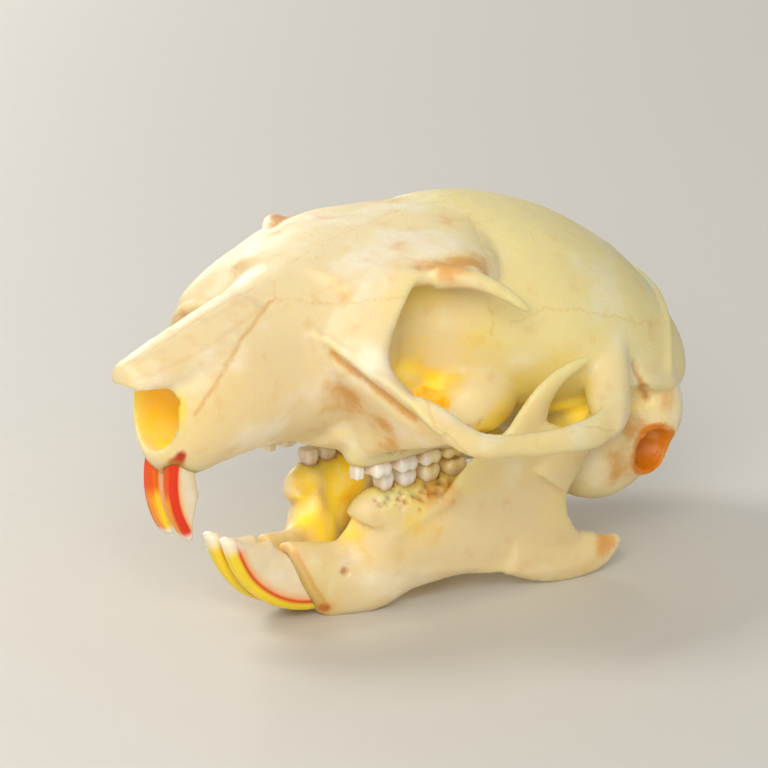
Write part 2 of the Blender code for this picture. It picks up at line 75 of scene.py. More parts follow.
# Sections across the skull: y, half width, floor, level of the greatest width, roof
BRAINCASE = [
    (-3.0, 3.6, 15.6, 20.0, 25.8),
    (-0.5, 5.8, 13.8, 20.6, 26.7),
    (2.0, 8.1, 12.6, 21.0, CROWN_Z - 0.4),
    (5.0, 9.9, 11.8, 19.6, CROWN_Z),
    (8.0, 11.1, 11.2, 18.2, CROWN_Z - 0.2),
    (11.0, BRAINCASE_X, 10.8, 17.0, 26.8),
    (14.0, 11.3, 10.4, 16.4, 25.6),
    (17.0, 10.7, 10.0, 15.4, 23.9),
    (19.0, 10.1, 9.6, 14.6, 22.2),
    (20.6, 9.3, 9.4, 13.9, 20.2),
    (22.0, 8.1, 9.6, 13.6, 18.4),
    (23.3, 6.2, 9.8, 13.3, 17.0),
    (24.2, 3.8, 10.3, 13.4, 15.8),
    (OCCIPUT_Y, 1.2, 12.4, 13.6, 14.6),
]
ROSTRUM = [
    (-22.9, 1.5, 14.2, 17.0, 20.6),
    (-22.3, 2.4, 13.5, 17.3, 21.2),
    (-21.4, 3.2, 12.9, 17.7, 21.9),
    (-20.0, 3.9, 12.6, 17.8, 22.5),
    (-17.5, 4.7, 13.1, 18.2, 23.3),
    (-14.0, 5.3, 13.4, 18.5, 24.4),
    (-11.0, 6.2, 13.2, 19.5, 25.3),
    (-8.5, 7.0, 13.2, 20.5, 26.0),
    (-6.0, 6.0, 13.6, 21.0, 26.4),
    (-3.0, 4.2, 14.2, 21.0, 26.7),
]
NASALS = [
    (SNOUT_Y, 0.7, 20.0, 20.6, 21.2),
    (-25.2, 1.4, 19.6, 20.5, 21.6),
    (-24.4, 1.9, 19.5, 20.5, 21.8),
    (-23.0, 2.3, 19.4, 20.6, 22.1),
    (-21.0, 2.7, 19.2, 20.9, 22.6),
    (-18.0, 3.0, 19.4, 21.4, 23.5),
    (-14.5, 3.0, 20.4, 22.6, 24.5),
]
FRONTAL_ROOF = [
    (-9.6, 6.0, 23.0, 24.0, 25.7),
    (-7.0, 7.4, 23.4, 24.6, 26.4),
    (-4.8, 8.3, 23.8, 25.1, 26.8),
    (-2.8, 9.0, 23.8, 25.1, 27.1),
    (-0.8, 9.9, 23.4, 24.7, 27.3),
    (1.2, 8.9, 22.4, 24.2, CROWN_Z - 0.2),
    (3.6, 7.6, 21.0, 23.6, CROWN_Z - 0.1),
    (6.2, 6.0, 20.0, 23.0, CROWN_Z - 0.2),
    (9.0, 4.6, 20.0, 22.8, CROWN_Z - 0.9),
]
SKULL_BASE = [
    (-3.0, 3.2, 12.8, 14.2, 17.0),
    (3.0, 3.0, 11.6, 13.0, 15.5),
    (8.0, 2.6, 10.2, 12.0, 14.0),
    (13.0, 2.7, 8.9, 11.0, 13.0),
    (18.0, 3.4, 8.1, 10.0, 12.5),
    (22.6, 3.0, 8.0, 9.2, 10.6),
]
PALATE = [
    (-9.8, 4.4, 12.9, 14.2, 17.5),
    (-8.0, 5.6, 12.2, 13.8, 18.5),
    (-5.0, 6.2, 12.0, 13.8, 18.0),
    (-2.0, 6.2, 12.0, 13.8, 17.0),
    (1.0, 5.9, 12.0, 13.6, 16.5),
    (3.4, 4.6, 12.4, 13.8, 16.0),
]

# Level slices of the plate that carries the cheek arch: height, inner x and y, outer x and y, thickness
CHEEK_PLATE = [
    (12.6, 5.0, -7.6, 6.2, -7.4, 1.4),
    (13.4, 4.6, -7.8, 8.2, -7.6, 1.8),
    (14.4, 4.4, -8.2, 11.8, -7.2, 1.9),
    (15.6, 4.2, -8.8, 14.4, -7.4, 2.0),
    (17.2, 4.0, -9.5, 13.3, -8.6, 2.3),
    (18.8, 4.0, -10.0, 11.9, -9.7, 2.6),
    (20.2, 4.0, -10.4, 10.7, -10.4, 2.9),
    (21.4, 4.0, -10.6, 10.3, -10.3, 3.1),
    (22.6, 4.0, -10.2, 9.8, -9.2, 2.8),
    (23.8, 4.0, -9.4, 9.2, -7.6, 2.4),
    (25.0, 4.0, -8.2, 8.5, -5.8, 2.0),
    (25.9, 4.0, -6.6, 8.2, -4.2, 1.0),
]
ARCH_ROOT = [
    (12.3, 11.8, 10.6, 14.6, 7.4, 0.9),
    (13.0, 10.8, 11.6, 15.2, 6.8, 2.2),
    (13.9, 10.0, 12.2, 15.3, 6.5, 3.0),
    (14.8, 9.4, 12.4, 14.6, 7.1, 3.3),
    (15.5, 9.0, 12.4, 13.5, 8.4, 3.3),
    (16.3, 8.6, 12.6, 12.5, 9.2, 3.5),
    (17.2, 8.2, 12.8, 11.8, 9.9, 3.6),
    (18.4, 7.8, 12.8, 11.2, 10.6, 3.2),
]

# Bars swept through the bone: x, y, z, height and thickness of the section
CHEEK_ARCH = [
    (12.2, -9.4, 18.6, 0.8, 0.6),
    (13.1, -8.5, 17.3, 1.8, 1.3),
    (14.2, -7.0, 15.7, 2.0, 1.4),
    (14.9, -5.4, 14.8, 1.9, 1.3),
    (ARCH_X, -2.6, 14.3, 1.8, 1.2),
    (ARCH_X + 0.3, 0.6, 13.9, 1.9, 1.2),
    (ARCH_X + 0.2, 3.2, 13.7, 2.2, 1.3),
    (ARCH_X - 0.2, 5.8, 13.6, 2.6, 1.4),
    (14.2, 7.8, 13.9, 2.4, 1.4),
]
BROW_SPUR = [
    (8.0, -3.4, 25.2, 2.0, 2.4),
    (9.4, -2.3, 25.2, 1.6, 2.0),
    (10.6, -1.1, 24.7, 1.3, 1.5),
    (11.4, 0.1, 23.9, 1.1, 1.1),
    (11.9, 1.1, 23.0, 0.9, 0.8),
    (12.2, 1.9, 22.3, 0.5, 0.5),
]
EAR_RIDGE = [
    (10.6, 11.2, 16.0, 2.4, 1.6),
    (10.9, 13.8, 14.9, 1.6, 1.2),
    (10.5, 16.4, 14.0, 1.6, 1.2),
    (9.8, 18.6, 13.4, 1.8, 1.2),
]
NAPE_CREST = [
    (0.0, 20.6, 20.3, 1.0, 1.0),
    (3.4, 20.4, 20.2, 1.0, 1.0),
    (6.6, 19.6, 19.6, 1.0, 1.0),
    (9.0, 18.5, 18.2, 1.0, 1.0),
    (10.2, 17.6, 15.8, 1.1, 1.1),
    (10.2, 17.5, 13.2, 1.3, 1.3),
]
NAPE_SPUR = [
    (8.0, 19.6, 11.0, 2.2, 2.0),
    (7.8, 19.8, 8.6, 1.8, 1.7),
    (7.5, 19.6, 6.6, 1.1, 1.1),
]
PALATE_WING = [
    (4.0, 0.6, 13.2, 2.6, 1.6),
    (3.4, 4.0, 12.0, 2.4, 1.1),
    (3.1, 6.6, 10.8, 1.8, 0.9),
    (3.0, 8.8, 9.4, 0.7, 0.6),
]
UPPER_TOOTH_BED = [
    (4.4, -8.6, 13.2, 2.4, 1.6),
    (4.6, -7.8, 13.2, 3.4, 2.8),
    (4.9, -5.4, 13.2, 3.6, 3.9),
    (5.0, -1.5, 13.2, 3.6, 4.0),
    (5.1, 1.2, 13.0, 3.9, 4.2),
    (5.2, 3.0, 12.8, 3.6, 3.6),
    (5.0, 4.6, 12.9, 2.4, 2.0),
]

# Rounded forms: centre x, y, z and half sizes
EAR_BULLA = (6.5, 14.4, 9.0, 3.6, 4.9, 4.2)
MASTOID = (9.0, 18.0, 11.2, 1.7, 2.2, 3.1)
NECK_CONDYLE = (3.3, 23.2, 9.6, 1.5, 2.0, 2.2)
TEMPLE_BULGE = (6.2, 2.4, 14.7, 2.5, 3.4, 2.6)
EAR_TUBE = (9.2, 16.5, 8.8, 1.7, 2.1, 2.2)

# What is open in the bone
NOSE_HOLLOW = [
    (-29.0, 2.3, 14.8, 18.0, 20.1),
    (-23.0, 2.25, 14.9, 18.0, 20.2),
    (-20.5, 2.6, 15.0, 18.0, 20.8),
    (-16.0, 3.3, 15.2, 18.4, 21.6),
    (-11.0, 2.4, 15.8, 18.6, 21.6),
]
NAPE_HOLE = (0.0, 24.0, 12.3, 3.2, 4.2, 2.7)
EAR_HOLE = (11.0, 16.5, 8.6, 2.9, 1.9, 1.7)
JAW_SOCKET = (10.9, 10.6, 12.5, 1.5, 2.3, 1.6)
THROAT_HOLLOW = (0.0, 3.4, 11.6, 1.9, 4.4, 1.5)
PALATE_HOLLOW = (0.0, -3.6, 10.9, 3.1, 7.5, 2.2)
EYE_VESSEL_HOLES = [
    (5.6, -1.6, 15.2, 1.3, 0.95, 0.9),
    (5.6, -5.9, 15.9, 1.2, 0.9, 0.8),
]
SNOUT_NERVE_HOLE = (6.0, -12.4, 15.0, 1.2, 0.45, 0.8)

# The left half of the lower jaw
JAW_BODY = [
    (1.1, -11.35, 5.4, 0.9, 1.4),
    (1.2, -11.05, 4.95, 1.9, 2.0),
    (1.3, -10.6, 4.32, 3.0, 2.4),
    (1.45, -10.0, 3.72, 4.0, 2.7),
    (1.65, -9.2, 3.15, 4.9, 2.9),
    (1.8, -8.3, 2.7, 5.5, 3.1),
    (2.3, -7.0, 2.6, 5.7, 3.2),
    (2.8, -6.1, 3.22, 6.75, 3.5),
    (3.2, -5.2, 4.05, 8.3, 3.8),
    (3.7, -4.0, 4.4, 8.3, 3.6),
    (4.4, -2.2, 4.9, 7.6, 3.3),
    (5.4, 0.6, 5.3, 7.4, 3.0),
    (6.5, 3.6, 5.4, 7.6, 2.4),
    (7.6, 6.6, 5.2, 7.4, 1.7),
]
LOWER_TOOTH_BED = [
    (3.5, -5.65, 6.7, 3.0, 1.9),
    (3.6, -5.4, 7.0, 4.0, 2.6),
    (3.9, -3.8, 7.3, 4.2, 3.2),
    (4.3, -1.0, 7.3, 4.3, 3.3),
    (4.7, 1.8, 7.4, 4.2, 3.2),
    (5.0, 3.4, 7.4, 3.4, 2.2),
]
JAW_PLATE = [
    (1.6, 6.0, 2.0, 8.3, 11.6, 1.6),
    (3.2, 5.6, 0.6, 8.8, 10.6, 1.7),
    (5.2, 5.3, -0.6, 9.1, 9.0, 1.6),
    (7.2, 5.9, -0.9, 9.5, 8.5, 1.5),
    (9.2, 7.0, -0.6, 10.0, 9.0, 1.4),
    (11.0, 8.2, -0.3, 10.6, 9.7, 1.3),
    (12.4, 9.5, 0.5, 11.0, 7.2, 1.2),
    (13.4, 10.4, 1.0, 11.2, 5.0, 1.1),
]
CORONOID_HOOK = [
    (10.3, 2.8, 12.6, 4.2, 1.3),
    (11.1, 3.0, 14.2, 3.4, 1.1),
    (11.6, 3.5, 15.6, 2.4, 1.0),
    (11.9, 4.7, 16.8, 1.6, 0.85),
    (12.1, 6.3, 17.5, 1.1, 0.7),
    (12.2, 7.9, 17.8, 0.5, 0.45),
]
CONDYLE_NECK = [
    (9.6, 6.6, 8.2, 4.2, 1.5),
    (10.1, 8.2, 10.4, 3.3, 1.4),
    (10.6, 9.5, 11.8, 2.3, 1.2),
    (10.8, 10.4, 12.7, 1.8, 1.2),
]
JAW_CONDYLE = (10.9, 10.6, 12.8, 0.9, 1.6, 0.8)
JAW_ANGLE = [
    (7.2, 5.0, 3.4, 4.4, 1.8),
    (7.8, 8.0, 2.5, 4.8, 1.8),
    (8.2, 10.2, 1.7, 4.0, 1.7),
    (8.7, 12.4, 1.7, 2.8, 1.4),
    (9.0, 13.5, 2.1, 1.5, 1.1),
    (9.0, 14.2, 2.4, 0.7, 0.7),
]

# Incisors run along arcs about a centre (y, z): radius to the middle, angles of tip and root, depth, width,
# place aside, how far the root leans out, and how soon the worn edge gains its full depth
UPPER_INCISOR = dict(
    centre=(-15.8, 12.6), radius=5.3, tip=221, root=163, depth=2.5, width=1.5, x=1.02, splay=0.0, wear=2.0,
)
LOWER_INCISOR = dict(
    centre=(-8.5, 9.3), radius=6.9, tip=194, root=278, depth=3.7, width=1.3, x=0.86, splay=1.2, wear=2.9,
)

# Cheek teeth: name, x, y of the crown's middle, length along the row
UPPER_CHEEK_TEETH = [
    ("premolar_3", 4.5, -7.6, 0.9),
    ("premolar_4", 4.8, -6.0, 1.9),
    ("molar_1", 5.0, -3.8, 2.1),
    ("molar_2", 5.0, -1.5, 2.1),
    ("molar_3", 4.9, 0.8, 2.1),
]
LOWER_CHEEK_TEETH = [
    ("premolar_4", 3.85, -4.4, 1.3),
    ("molar_1", 4.1, -2.75, 1.7),
    ("molar_2", 4.35, -0.8, 1.9),
    ("molar_3", 4.65, 1.45, 2.2),
]
UPPER_TOOTH_WIDTH = 2.4
LOWER_TOOTH_WIDTH = 2.0
TOOTH_CROWN = 1.5
SOCKET_GAP = 0.1

# A cheek tooth from its root's end to its crown's edge: stations, their levels and widths
TOOTH_STATIONS = (-1.0, -0.2, 0.1, 0.55, 1.0)
TOOTH_LEVELS = (-1.4, 0.0, 0.3, 0.95, TOOTH_CROWN)
TOOTH_SPREAD = (0.55, 0.76, 0.8, 1.0, 0.86)
TOOTH_SQUARENESS = 3.4
BITE_GAP = 0.12
CHEEK_CUSPS = 0.24
TONGUE_CUSP = 0.22
CROSS_RIDGES = 0.10
BASIN_DEPTH = 0.20
SIDE_FURROW = 0.07

# An incisor's section, and the share of its length behind which the root leans out
INCISOR_SQUARENESS = 0.7
LEAN_START = 0.35

# Seams of the left side and the middle, as places on the skin: x, y, z
NOSE_SEAMS = [
    [(1.2, -25.0, 20.8), (1.9, -23.5, 21.3), (2.4, -21.5, 22.0), (2.6, -19.0, 22.7), (2.5, -16.5, 23.4),
     (2.0, -13.4, 24.2)],
    [(2.0, -13.4, 24.2), (2.6, -15.4, 23.2), (3.1, -17.6, 21.9), (3.45, -18.9, 20.9), (3.4, -20.7, 19.1),
     (3.1, -21.5, 17.9)],
]
ROOF_SEAMS = [
    [(0.0, -11.6, 24.9), (1.2, -12.2, 24.7), (2.0, -13.4, 24.2), (2.8, -12.2, 24.5), (4.4, -11.0, 24.3),
     (6.0, -9.7, 24.2), (7.6, -8.4, 24.4), (8.6, -7.0, 24.6)],
    [(0.0, 4.6, 27.7), (2.2, 4.8, 27.6), (4.2, 4.0, 27.2), (6.2, 2.9, 26.4), (7.9, 1.9, 25.0),
     (7.9, 1.9, 22.6), (8.1, 2.2, 19.8)],
    [(8.9, 3.2, 20.6), (10.0, 5.4, 21.3), (10.8, 8.4, 21.0), (11.2, 11.5, 20.0), (10.9, 14.6, 18.9),
     (10.1, 17.4, 18.2)],
    [(0.0, 15.4, 25.0), (2.6, 15.8, 24.7), (5.0, 16.6, 23.4), (6.2, 18.0, 21.8), (6.4, 19.2, 20.4)],
]
MIDLINE_SEAM = [
    (0.0, -25.3, 21.3), (0.0, -19.0, 23.2), (0.0, -11.6, 24.9), (0.0, -4.0, 26.8), (0.0, 4.6, 27.7),
    (0.0, 12.0, 26.5), (0.0, 15.4, 25.0),
]
ARCH_SEAMS = [
    [(12.6, -9.0, 18.6), (13.4, -8.6, 17.0), (14.3, -7.4, 15.4), (14.6, -6.4, 14.2)],
    [(15.8, 3.2, 14.8), (16.2, 5.0, 14.2), (15.9, 6.6, 13.4), (15.0, 7.8, 12.7)],
]
UNDER_SEAMS = [
    [(0.0, -18.0, 13.0), (0.0, -12.0, 13.2), (0.0, -6.0, 13.2), (0.0, 0.0, 13.2)],
    [(0.0, -4.4, 13.0), (1.6, -4.8, 12.9), (2.6, -3.6, 12.8), (3.0, -1.4, 12.6)],
    [(0.0, 13.2, 8.8), (1.4, 13.4, 9.0), (2.6, 13.0, 9.6)],
]
LIP_SEAM = [(2.1, -11.3, 5.5), (2.6, -11.0, 4.4), (2.9, -10.6, 3.2), (3.1, -10.0, 2.0), (3.2, -9.2, 0.8)]

# How the seams are worn: width, wander, depth and share of dirt
NOSE_SEAM_WEAR = [(0.26, 0.16, 0.05, 0.3), (0.26, 0.16, 0.05, 0.7)]
ROOF_SEAM_WEAR = (0.15, 0.40, 0.03, 0.45)
FINE_SEAM_WEAR = (0.14, 0.12, 0.04, 0.5)
MIDLINE_SEAM_WEAR = (0.15, 0.25, 0.04, 0.5)
LIP_SEAM_WIDTH = 0.34

# Ridges and grooves of the left side, as places on the skin: x, y, z
TEMPLE_LINE = [
    (9.2, -0.6, 26.0), (8.6, 1.6, 25.9), (7.9, 5.0, 25.6), (7.7, 9.0, 24.8), (7.9, 13.0, 23.2),
    (7.4, 17.0, 21.2),
]
CHEEK_RIDGE = [
    (4.9, -12.2, 22.2), (6.3, -12.1, 21.9), (7.8, -11.9, 21.4), (9.7, -11.3, 20.3), (11.5, -10.2, 18.9),
    (12.8, -9.3, 17.6), (13.8, -8.5, 16.4),
]
CHEEK_GROOVE = [
    (6.6, -12.1, 20.9), (7.6, -11.8, 20.5), (8.9, -11.4, 19.6), (10.6, -10.5, 18.2), (12.0, -9.5, 16.9),
]
BROW_DIMPLE = [(7.6, -4.2, 26.2), (8.3, -2.4, 26.3), (8.7, -0.6, 26.0), (8.4, 1.2, 25.2)]
EAR_CLEFT = [(11.2, 13.2, 16.0), (11.2, 13.9, 14.8), (10.5, 14.9, 13.6), (9.8, 16.0, 12.6)]
BITE_RIDGE = [(5.2, -4.6, 6.0), (5.7, -3.2, 6.6), (6.1, -1.8, 7.3), (6.3, -0.4, 8.4), (7.1, 0.3, 9.6)]
JAW_EDGE_RIDGE = [(5.2, -4.6, 3.4), (6.3, -1.6, 2.6), (7.4, 2.4, 1.9), (8.4, 6.6, 1.2), (9.1, 10.4, 1.2)]

# Each ridge with its width and height, each groove with its width and depth
CRANIUM_RIDGES = [(TEMPLE_LINE, 0.8, 0.06), (CHEEK_RIDGE, 0.42, 0.34)]
CRANIUM_GROOVES = [(CHEEK_GROOVE, 0.75, 0.36), (BROW_DIMPLE, 1.3, 0.2), (EAR_CLEFT, 0.5, 0.3)]
JAW_RIDGES = [(BITE_RIDGE, 0.8, 0.25), (JAW_EDGE_RIDGE, 0.7, 0.12)]

# Spongy bone along the left side's upper and lower sockets, its pits, and the chin's nerve hole
UPPER_SPONGY_LINE = [(6.9, -6.6, 12.9), (7.1, -3.0, 12.8), (7.1, 0.4, 12.6), (6.8, 3.4, 12.6)]
LOWER_SPONGY_LINE = [(5.6, -5.6, 8.6), (5.9, -2.6, 8.6), (6.1, 0.4, 8.8), (6.4, 2.4, 9.2)]
SPONGY_PITS = 110
CHIN_HOLE = (3.74, -7.82, 3.54)
CHIN_HOLE_RADIUS = 0.5
CHIN_HOLE_DEPTH = 0.4

# A hollow's lining reaches this far beyond it; the nose's lining gets its painted glow from this far behind
# its first section
LINING = 0.25
NOSE_SHINE_START = 6.2
NOSE_SHINE_EASE = 0.8

# Patches of colour on the left side: x, y, z, reach and strength
CRANIUM_PATCHES = {
    # Amber: partly stain, partly painted shade under the cheek plate, on the brow and crown, and round the
    # ear
    "amber": [
        (6.6, -10.6, 17.4, 3.6, 0.8), (8.8, -9.2, 15.6, 3.0, 0.7), (5.2, -11.4, 15.2, 2.8, 0.5),
        (8.6, -8.6, 14.4, 2.6, 0.7), (8.2, -11.4, 20.4, 2.2, 0.5), (4.0, -9.7, 13.7, 2.4, 0.4),
        (9.2, -2.8, 25.9, 2.4, 1.0), (8.6, 0.4, 25.6, 2.2, 0.9), (5.2, -6.0, 26.1, 2.4, 0.4),
        (5.1, -9.8, 24.1, 2.2, 0.4), (9.9, 13.4, 8.1, 3.2, 0.8), (9.6, 14.6, 10.8, 2.4, 0.8),
        (7.3, 20.7, 10.9, 3.0, 0.5), (10.5, 17.3, 12.3, 2.6, 0.5), (4.6, -2.6, 27.0, 3.6, 0.45),
        (3.4, 3.0, 27.6, 4.2, 0.45), (11.3, 13.5, 15.5, 1.0, 0.8), (10.9, 14.6, 14.2, 1.0, 0.9),
        (10.0, 15.3, 13.4, 1.0, 0.9), (10.7, 15.4, 18.0, 3.0, 0.4),
    ],
    # Glow: painted light in the orbit and in the gap behind the coronoid
    "glow": [
        (3.7, -1.9, 17.1, 2.8, 0.7), (4.6, -1.5, 18.7, 2.4, 0.5), (5.8, -0.1, 16.3, 2.6, 0.6),
        (8.3, 9.6, 13.1, 3.6, 0.8), (7.8, 11.4, 12.1, 2.6, 0.8), (5.0, -0.5, 16.1, 2.8, 0.8),
        (7.0, 2.4, 13.7, 3.2, 0.7), (5.6, 1.0, 19.6, 4.8, 0.45),
    ],
    # Deep: painted shade in a hole of the orbit
    "deep": [(5.9, -1.5, 15.0, 1.5, 0.5)],
    "red": [(2.2, -22.0, 14.9, 0.6, 1.0), (2.05, -22.1, 14.5, 0.7, 1.0), (1.9, -22.3, 14.0, 0.9, 1.0)],
}
DENTARY_PATCHES = {
    # Amber: partly stain, partly painted shade on the jaw's angle and below the rear teeth
    "amber": [
        (9.3, 12.8, 2.2, 2.2, 0.9), (8.7, 8.4, 3.0, 3.0, 0.4), (6.2, -2.0, 5.2, 2.6, 0.3),
        (8.8, 2.4, 9.6, 3.0, 0.3), (6.0, -0.8, 8.4, 2.8, 0.9),
    ],
    # Glow: painted light on the inner face of the jaw, seen between the teeth
    "glow": [
        (2.3, -5.4, 8.2, 2.6, 0.7), (2.2, -5.8, 6.2, 3.2, 0.8), (1.8, -4.6, 4.4, 4.6, 0.9),
        (2.2, -1.8, 6.6, 5.4, 1.0),
    ],
    # Deep: painted shade inside the jaw and by the rear teeth
    "deep": [(2.9, -1.0, 5.6, 3.0, 0.4), (6.2, 0.6, 8.8, 1.4, 0.6)],
    "red": [(2.6, -9.0, 0.7, 0.8, 0.9)],
}

# Lamps: way from the skull's middle (to the picture's right, up, towards the camera), width, share of the
# power and colour
LAMPS = {
    "key_lamp": ((-0.28, 0.32, 0.06), 0.16, 0.49, (1.0, 0.97, 0.92)),
    "fill_lamp": ((-0.03, 0.10, 0.47), 0.24, 1.08, (1.0, 0.97, 0.93)),
    "rim_lamp": ((-0.14, 0.20, -0.34), 0.18, 0.38, (1.0, 0.96, 0.88)),
}
LIT_HEIGHT = 0.014
CAMERA_TARGET = (0, -0.00042, 0.015)
FLOOR_REACH = 1.5


def linear(code):
    """An sRGB hex colour as linear red, green and blue."""
    channels = [int(code[i:i + 2], 16) / 255 for i in (0, 2, 4)]
    return tuple(c / 12.92 if c <= 0.04045 else ((c + 0.055) / 1.055) ** 2.4 for c in channels)


def tint(name, description, code):
    return FloatVectorProperty(
        name=name, description=description, default=linear(code), subtype="COLOR", size=3, min=0.0, max=1.0
    )


class SkullBoneSettings(bpy.types.PropertyGroup):
    """Fineness, relief and colours of the bone."""

    grain: FloatProperty(
        name="Grain", description="Side of the cells that the bone's skin is grown from", default=0.00021,
        min=0.0001, max=0.001, precision=5, unit="LENGTH",
    )
    triangles: IntProperty(
        name="Triangles", description="Most triangles that the cranium may have before its seams",
        default=130000, min=20000,
    )
    relief: FloatProperty(
        name="Relief", description="Strength of the ridges, seams and pits", default=1.0, min=0.0, max=3.0
    )
    beige: tint("Beige", "Snout and lower jaw", "EAD6A6")
    cream: tint("Cream", "Braincase", "F2E1AC")
    white: tint("Bleached", "Worn, bleached patches", "F8F0DA")
    # Amber is partly stain, and partly painted shade in grooves and under ledges
    amber: tint("Amber", "Stained patches", "D8921C")
    # Yolk is painted light: bounce light in sheltered hollows, and light soaking through thin bone
    yolk: tint("Yolk", "Sheltered bone", "F6E07C")
    # Glow is painted light: thin bone lit through, and it also shines by emission
    glow: tint("Glow", "Thin bone in the hollows", "FFD82C")
    # Deep is painted shade in holes and pits
    deep: tint("Deep", "The deepest hollows", "DC8200")
    red: tint("Red", "Bone stained by the incisors' roots", "C23A08")
    seam: tint("Seams", "Dirt in the seams", "DCA030")


class SkullToothSettings(bpy.types.PropertyGroup):
    """Colours of the teeth."""

    orange: tint("Orange enamel", "Middle of the upper incisors' fronts", "FF9C1C")
    red: tint("Red enamel", "Outer edges and roots of the incisors", "E23404")
    yellow: tint("Yellow enamel", "Front of the lower incisors", "F8DC34")
    ivory: tint("Ivory", "Bare dentine on the incisors' sides", "F2E0BA")
    tip: tint("Tip", "Worn tips", "FBF4E4")
    enamel: tint("Cheek enamel", "Cheek teeth", "F4EEE2")
    tartar: tint("Stain", "Stain between the cusps and at the neck", "D69A48")
    rear: tint("Rear teeth", "Yellowed enamel of the rear cheek teeth", "FCE4A0")


class SkullStageSettings(bpy.types.PropertyGroup):
    """The camera, the floor and the lamps."""

    azimuth: FloatProperty(
        name="Azimuth", description="How far the camera stands round from the snout to the left",
        default=math.radians(46), subtype="ANGLE",
    )
    elevation: FloatProperty(
        name="Elevation", description="How far the camera looks down", default=math.radians(17),
        subtype="ANGLE",
    )
    distance: FloatProperty(
        name="Distance", description="From the camera to the skull's middle", default=0.45, unit="LENGTH"
    )
    lens: FloatProperty(
        name="Focal length", description="Focal length on a 36 mm sensor, in millimetres", default=297.4
    )
    lamp: FloatProperty(
        name="Lamp", description="Power that the lamps share, in watts", default=1.3, min=0.0
    )
    floor: tint("Floor", "The floor's paint", "D6D3CC")


# Shapes


def smooth_rows(rows, steps=STEPS):
    """The rows with others between them, on a smooth curve through each column."""
    out = []
    last = len(rows) - 1
    for i in range(last):
        before, start, end, after = (rows[min(max(i + k, 0), last)] for k in (-1, 0, 1, 2))
        for step in range(steps):
            t = step / steps
            out.append([
                0.5 * (
                    2 * b + (c - a) * t + (2 * a - 5 * b + 4 * c - d) * t**2
                    + (3 * b - a - 3 * c + d) * t**3
                )
                for a, b, c, d in zip(before, start, end, after)
            ])
    out.append(list(rows[-1]))
    return out


def loft(bm, rings):
    """A closed skin through rings that have the same number of points."""
    count = len(rings[0])
    made = bmesh.ops.create_circle(bm, segments=count, radius=1.0)["verts"]
    for vert, place in zip(made, rings[0]):
        vert.co = place
    ring = list(made)
    first = [bm.edges.get((ring[i - 1], ring[i])) for i in range(count)]
    edges = first
    for places in rings[1:]:
        grown = bmesh.ops.extrude_edge_only(bm, edges=edges)["geom"]
        fresh = {item for item in grown if isinstance(item, bmesh.types.BMVert)}
        ring = [next(e.other_vert(v) for e in v.link_edges if e.other_vert(v) in fresh) for v in ring]
        for vert, place in zip(ring, places):
            vert.co = place
        edges = [bm.edges.get((ring[i - 1], ring[i])) for i in range(count)]
    for end in (first, edges):
        bmesh.ops.contextual_create(bm, geom=end)


def angles(sides):
    return [2 * math.pi * i / sides for i in range(sides)]


def across(bm, rows, sides=40):
    """A form given by upright sections across the skull."""
    rings = []
    for y, half_width, floor, level, roof in smooth_rows(rows):
        rings.append([
            Vector((
                half_width * math.cos(a),
                y,
                level + math.sin(a) * (roof - level if math.sin(a) > 0 else level - floor),
            ))
            for a in angles(sides)
        ])
    loft(bm, rings)


def slices(bm, rows, side, sides=28):
    """A plate given by level slices, each a flat ellipse between two ends."""
    rings = []
    for z, x1, y1, x2, y2, thickness in smooth_rows(rows):
        near = Vector((side * x1, y1, z))
        far = Vector((side * x2, y2, z))
        along = (far - near) / 2
        aside = Vector((-along.y, along.x, 0)).normalized() * thickness / 2
        rings.append([(near + far) / 2 + along * math.cos(a) + aside * math.sin(a) for a in angles(sides)])
    loft(bm, rings)


def sweep(bm, rows, side, tall_axis=Vector((0, 0, 1)), sides=20, upright=False):
    """A bar through the given places, its sections square to its run, or upright across the skull.

    A section's height lies along tall_axis as far as that allows.
    """
    rows = smooth_rows(rows, 5)
    middles = [Vector((side * x, y, z)) for x, y, z, _, _ in rows]
    rings = []
    for i, (_, _, _, tall, thick) in enumerate(rows):
        run = (middles[min(i + 1, len(rows) - 1)] - middles[max(i - 1, 0)]).normalized()
        if upright:
            run = Vector((0, 1, 0))
        flat = run.cross(tall_axis).normalized()
        high = flat.cross(run).normalized()
        rings.append([
            middles[i] + high * math.sin(a) * tall / 2 + flat * math.cos(a) * thick / 2
            for a in angles(sides)
        ])
    loft(bm, rings)


def ball(bm, form, side=1):
    x, y, z, half_x, half_y, half_z = form
    place = Matrix.Translation((side * x, y, z)) @ Matrix.Diagonal((half_x, half_y, half_z, 1))
    bmesh.ops.create_uvsphere(bm, u_segments=40, v_segments=24, radius=1, matrix=place)


def mesh_of(bm, name):
    bmesh.ops.recalc_face_normals(bm, faces=bm.faces[:])
    mesh = bpy.data.meshes.new(name)
    bm.to_mesh(mesh)
    bm.free()
    return mesh


def changed(mesh, make_modifiers):
    """The mesh as it comes out of the modifiers that make_modifiers adds."""
    obj = bpy.data.objects.new(mesh.name, mesh)
    bpy.context.scene.collection.objects.link(obj)
    make_modifiers(obj)
    graph = bpy.context.evaluated_depsgraph_get()
    result = bpy.data.meshes.new_from_object(obj.evaluated_get(graph))
    result.name = mesh.name
    bpy.data.objects.remove(obj)
    if not result.polygons:
        raise RuntimeError(f"Nothing is left of the form {mesh.name}")
    return result


def fused(mesh, voxel, smoothing=3):
    """Overlapping forms grown into one skin, with the joins rounded."""

    def modifiers(obj):
        remesh = obj.modifiers.new("Fuse", "REMESH")
        remesh.mode = "VOXEL"
        remesh.voxel_size = voxel
        smooth = obj.modifiers.new("Round", "SMOOTH")
        smooth.factor = 0.5
        smooth.iterations = smoothing

    return changed(mesh, modifiers)


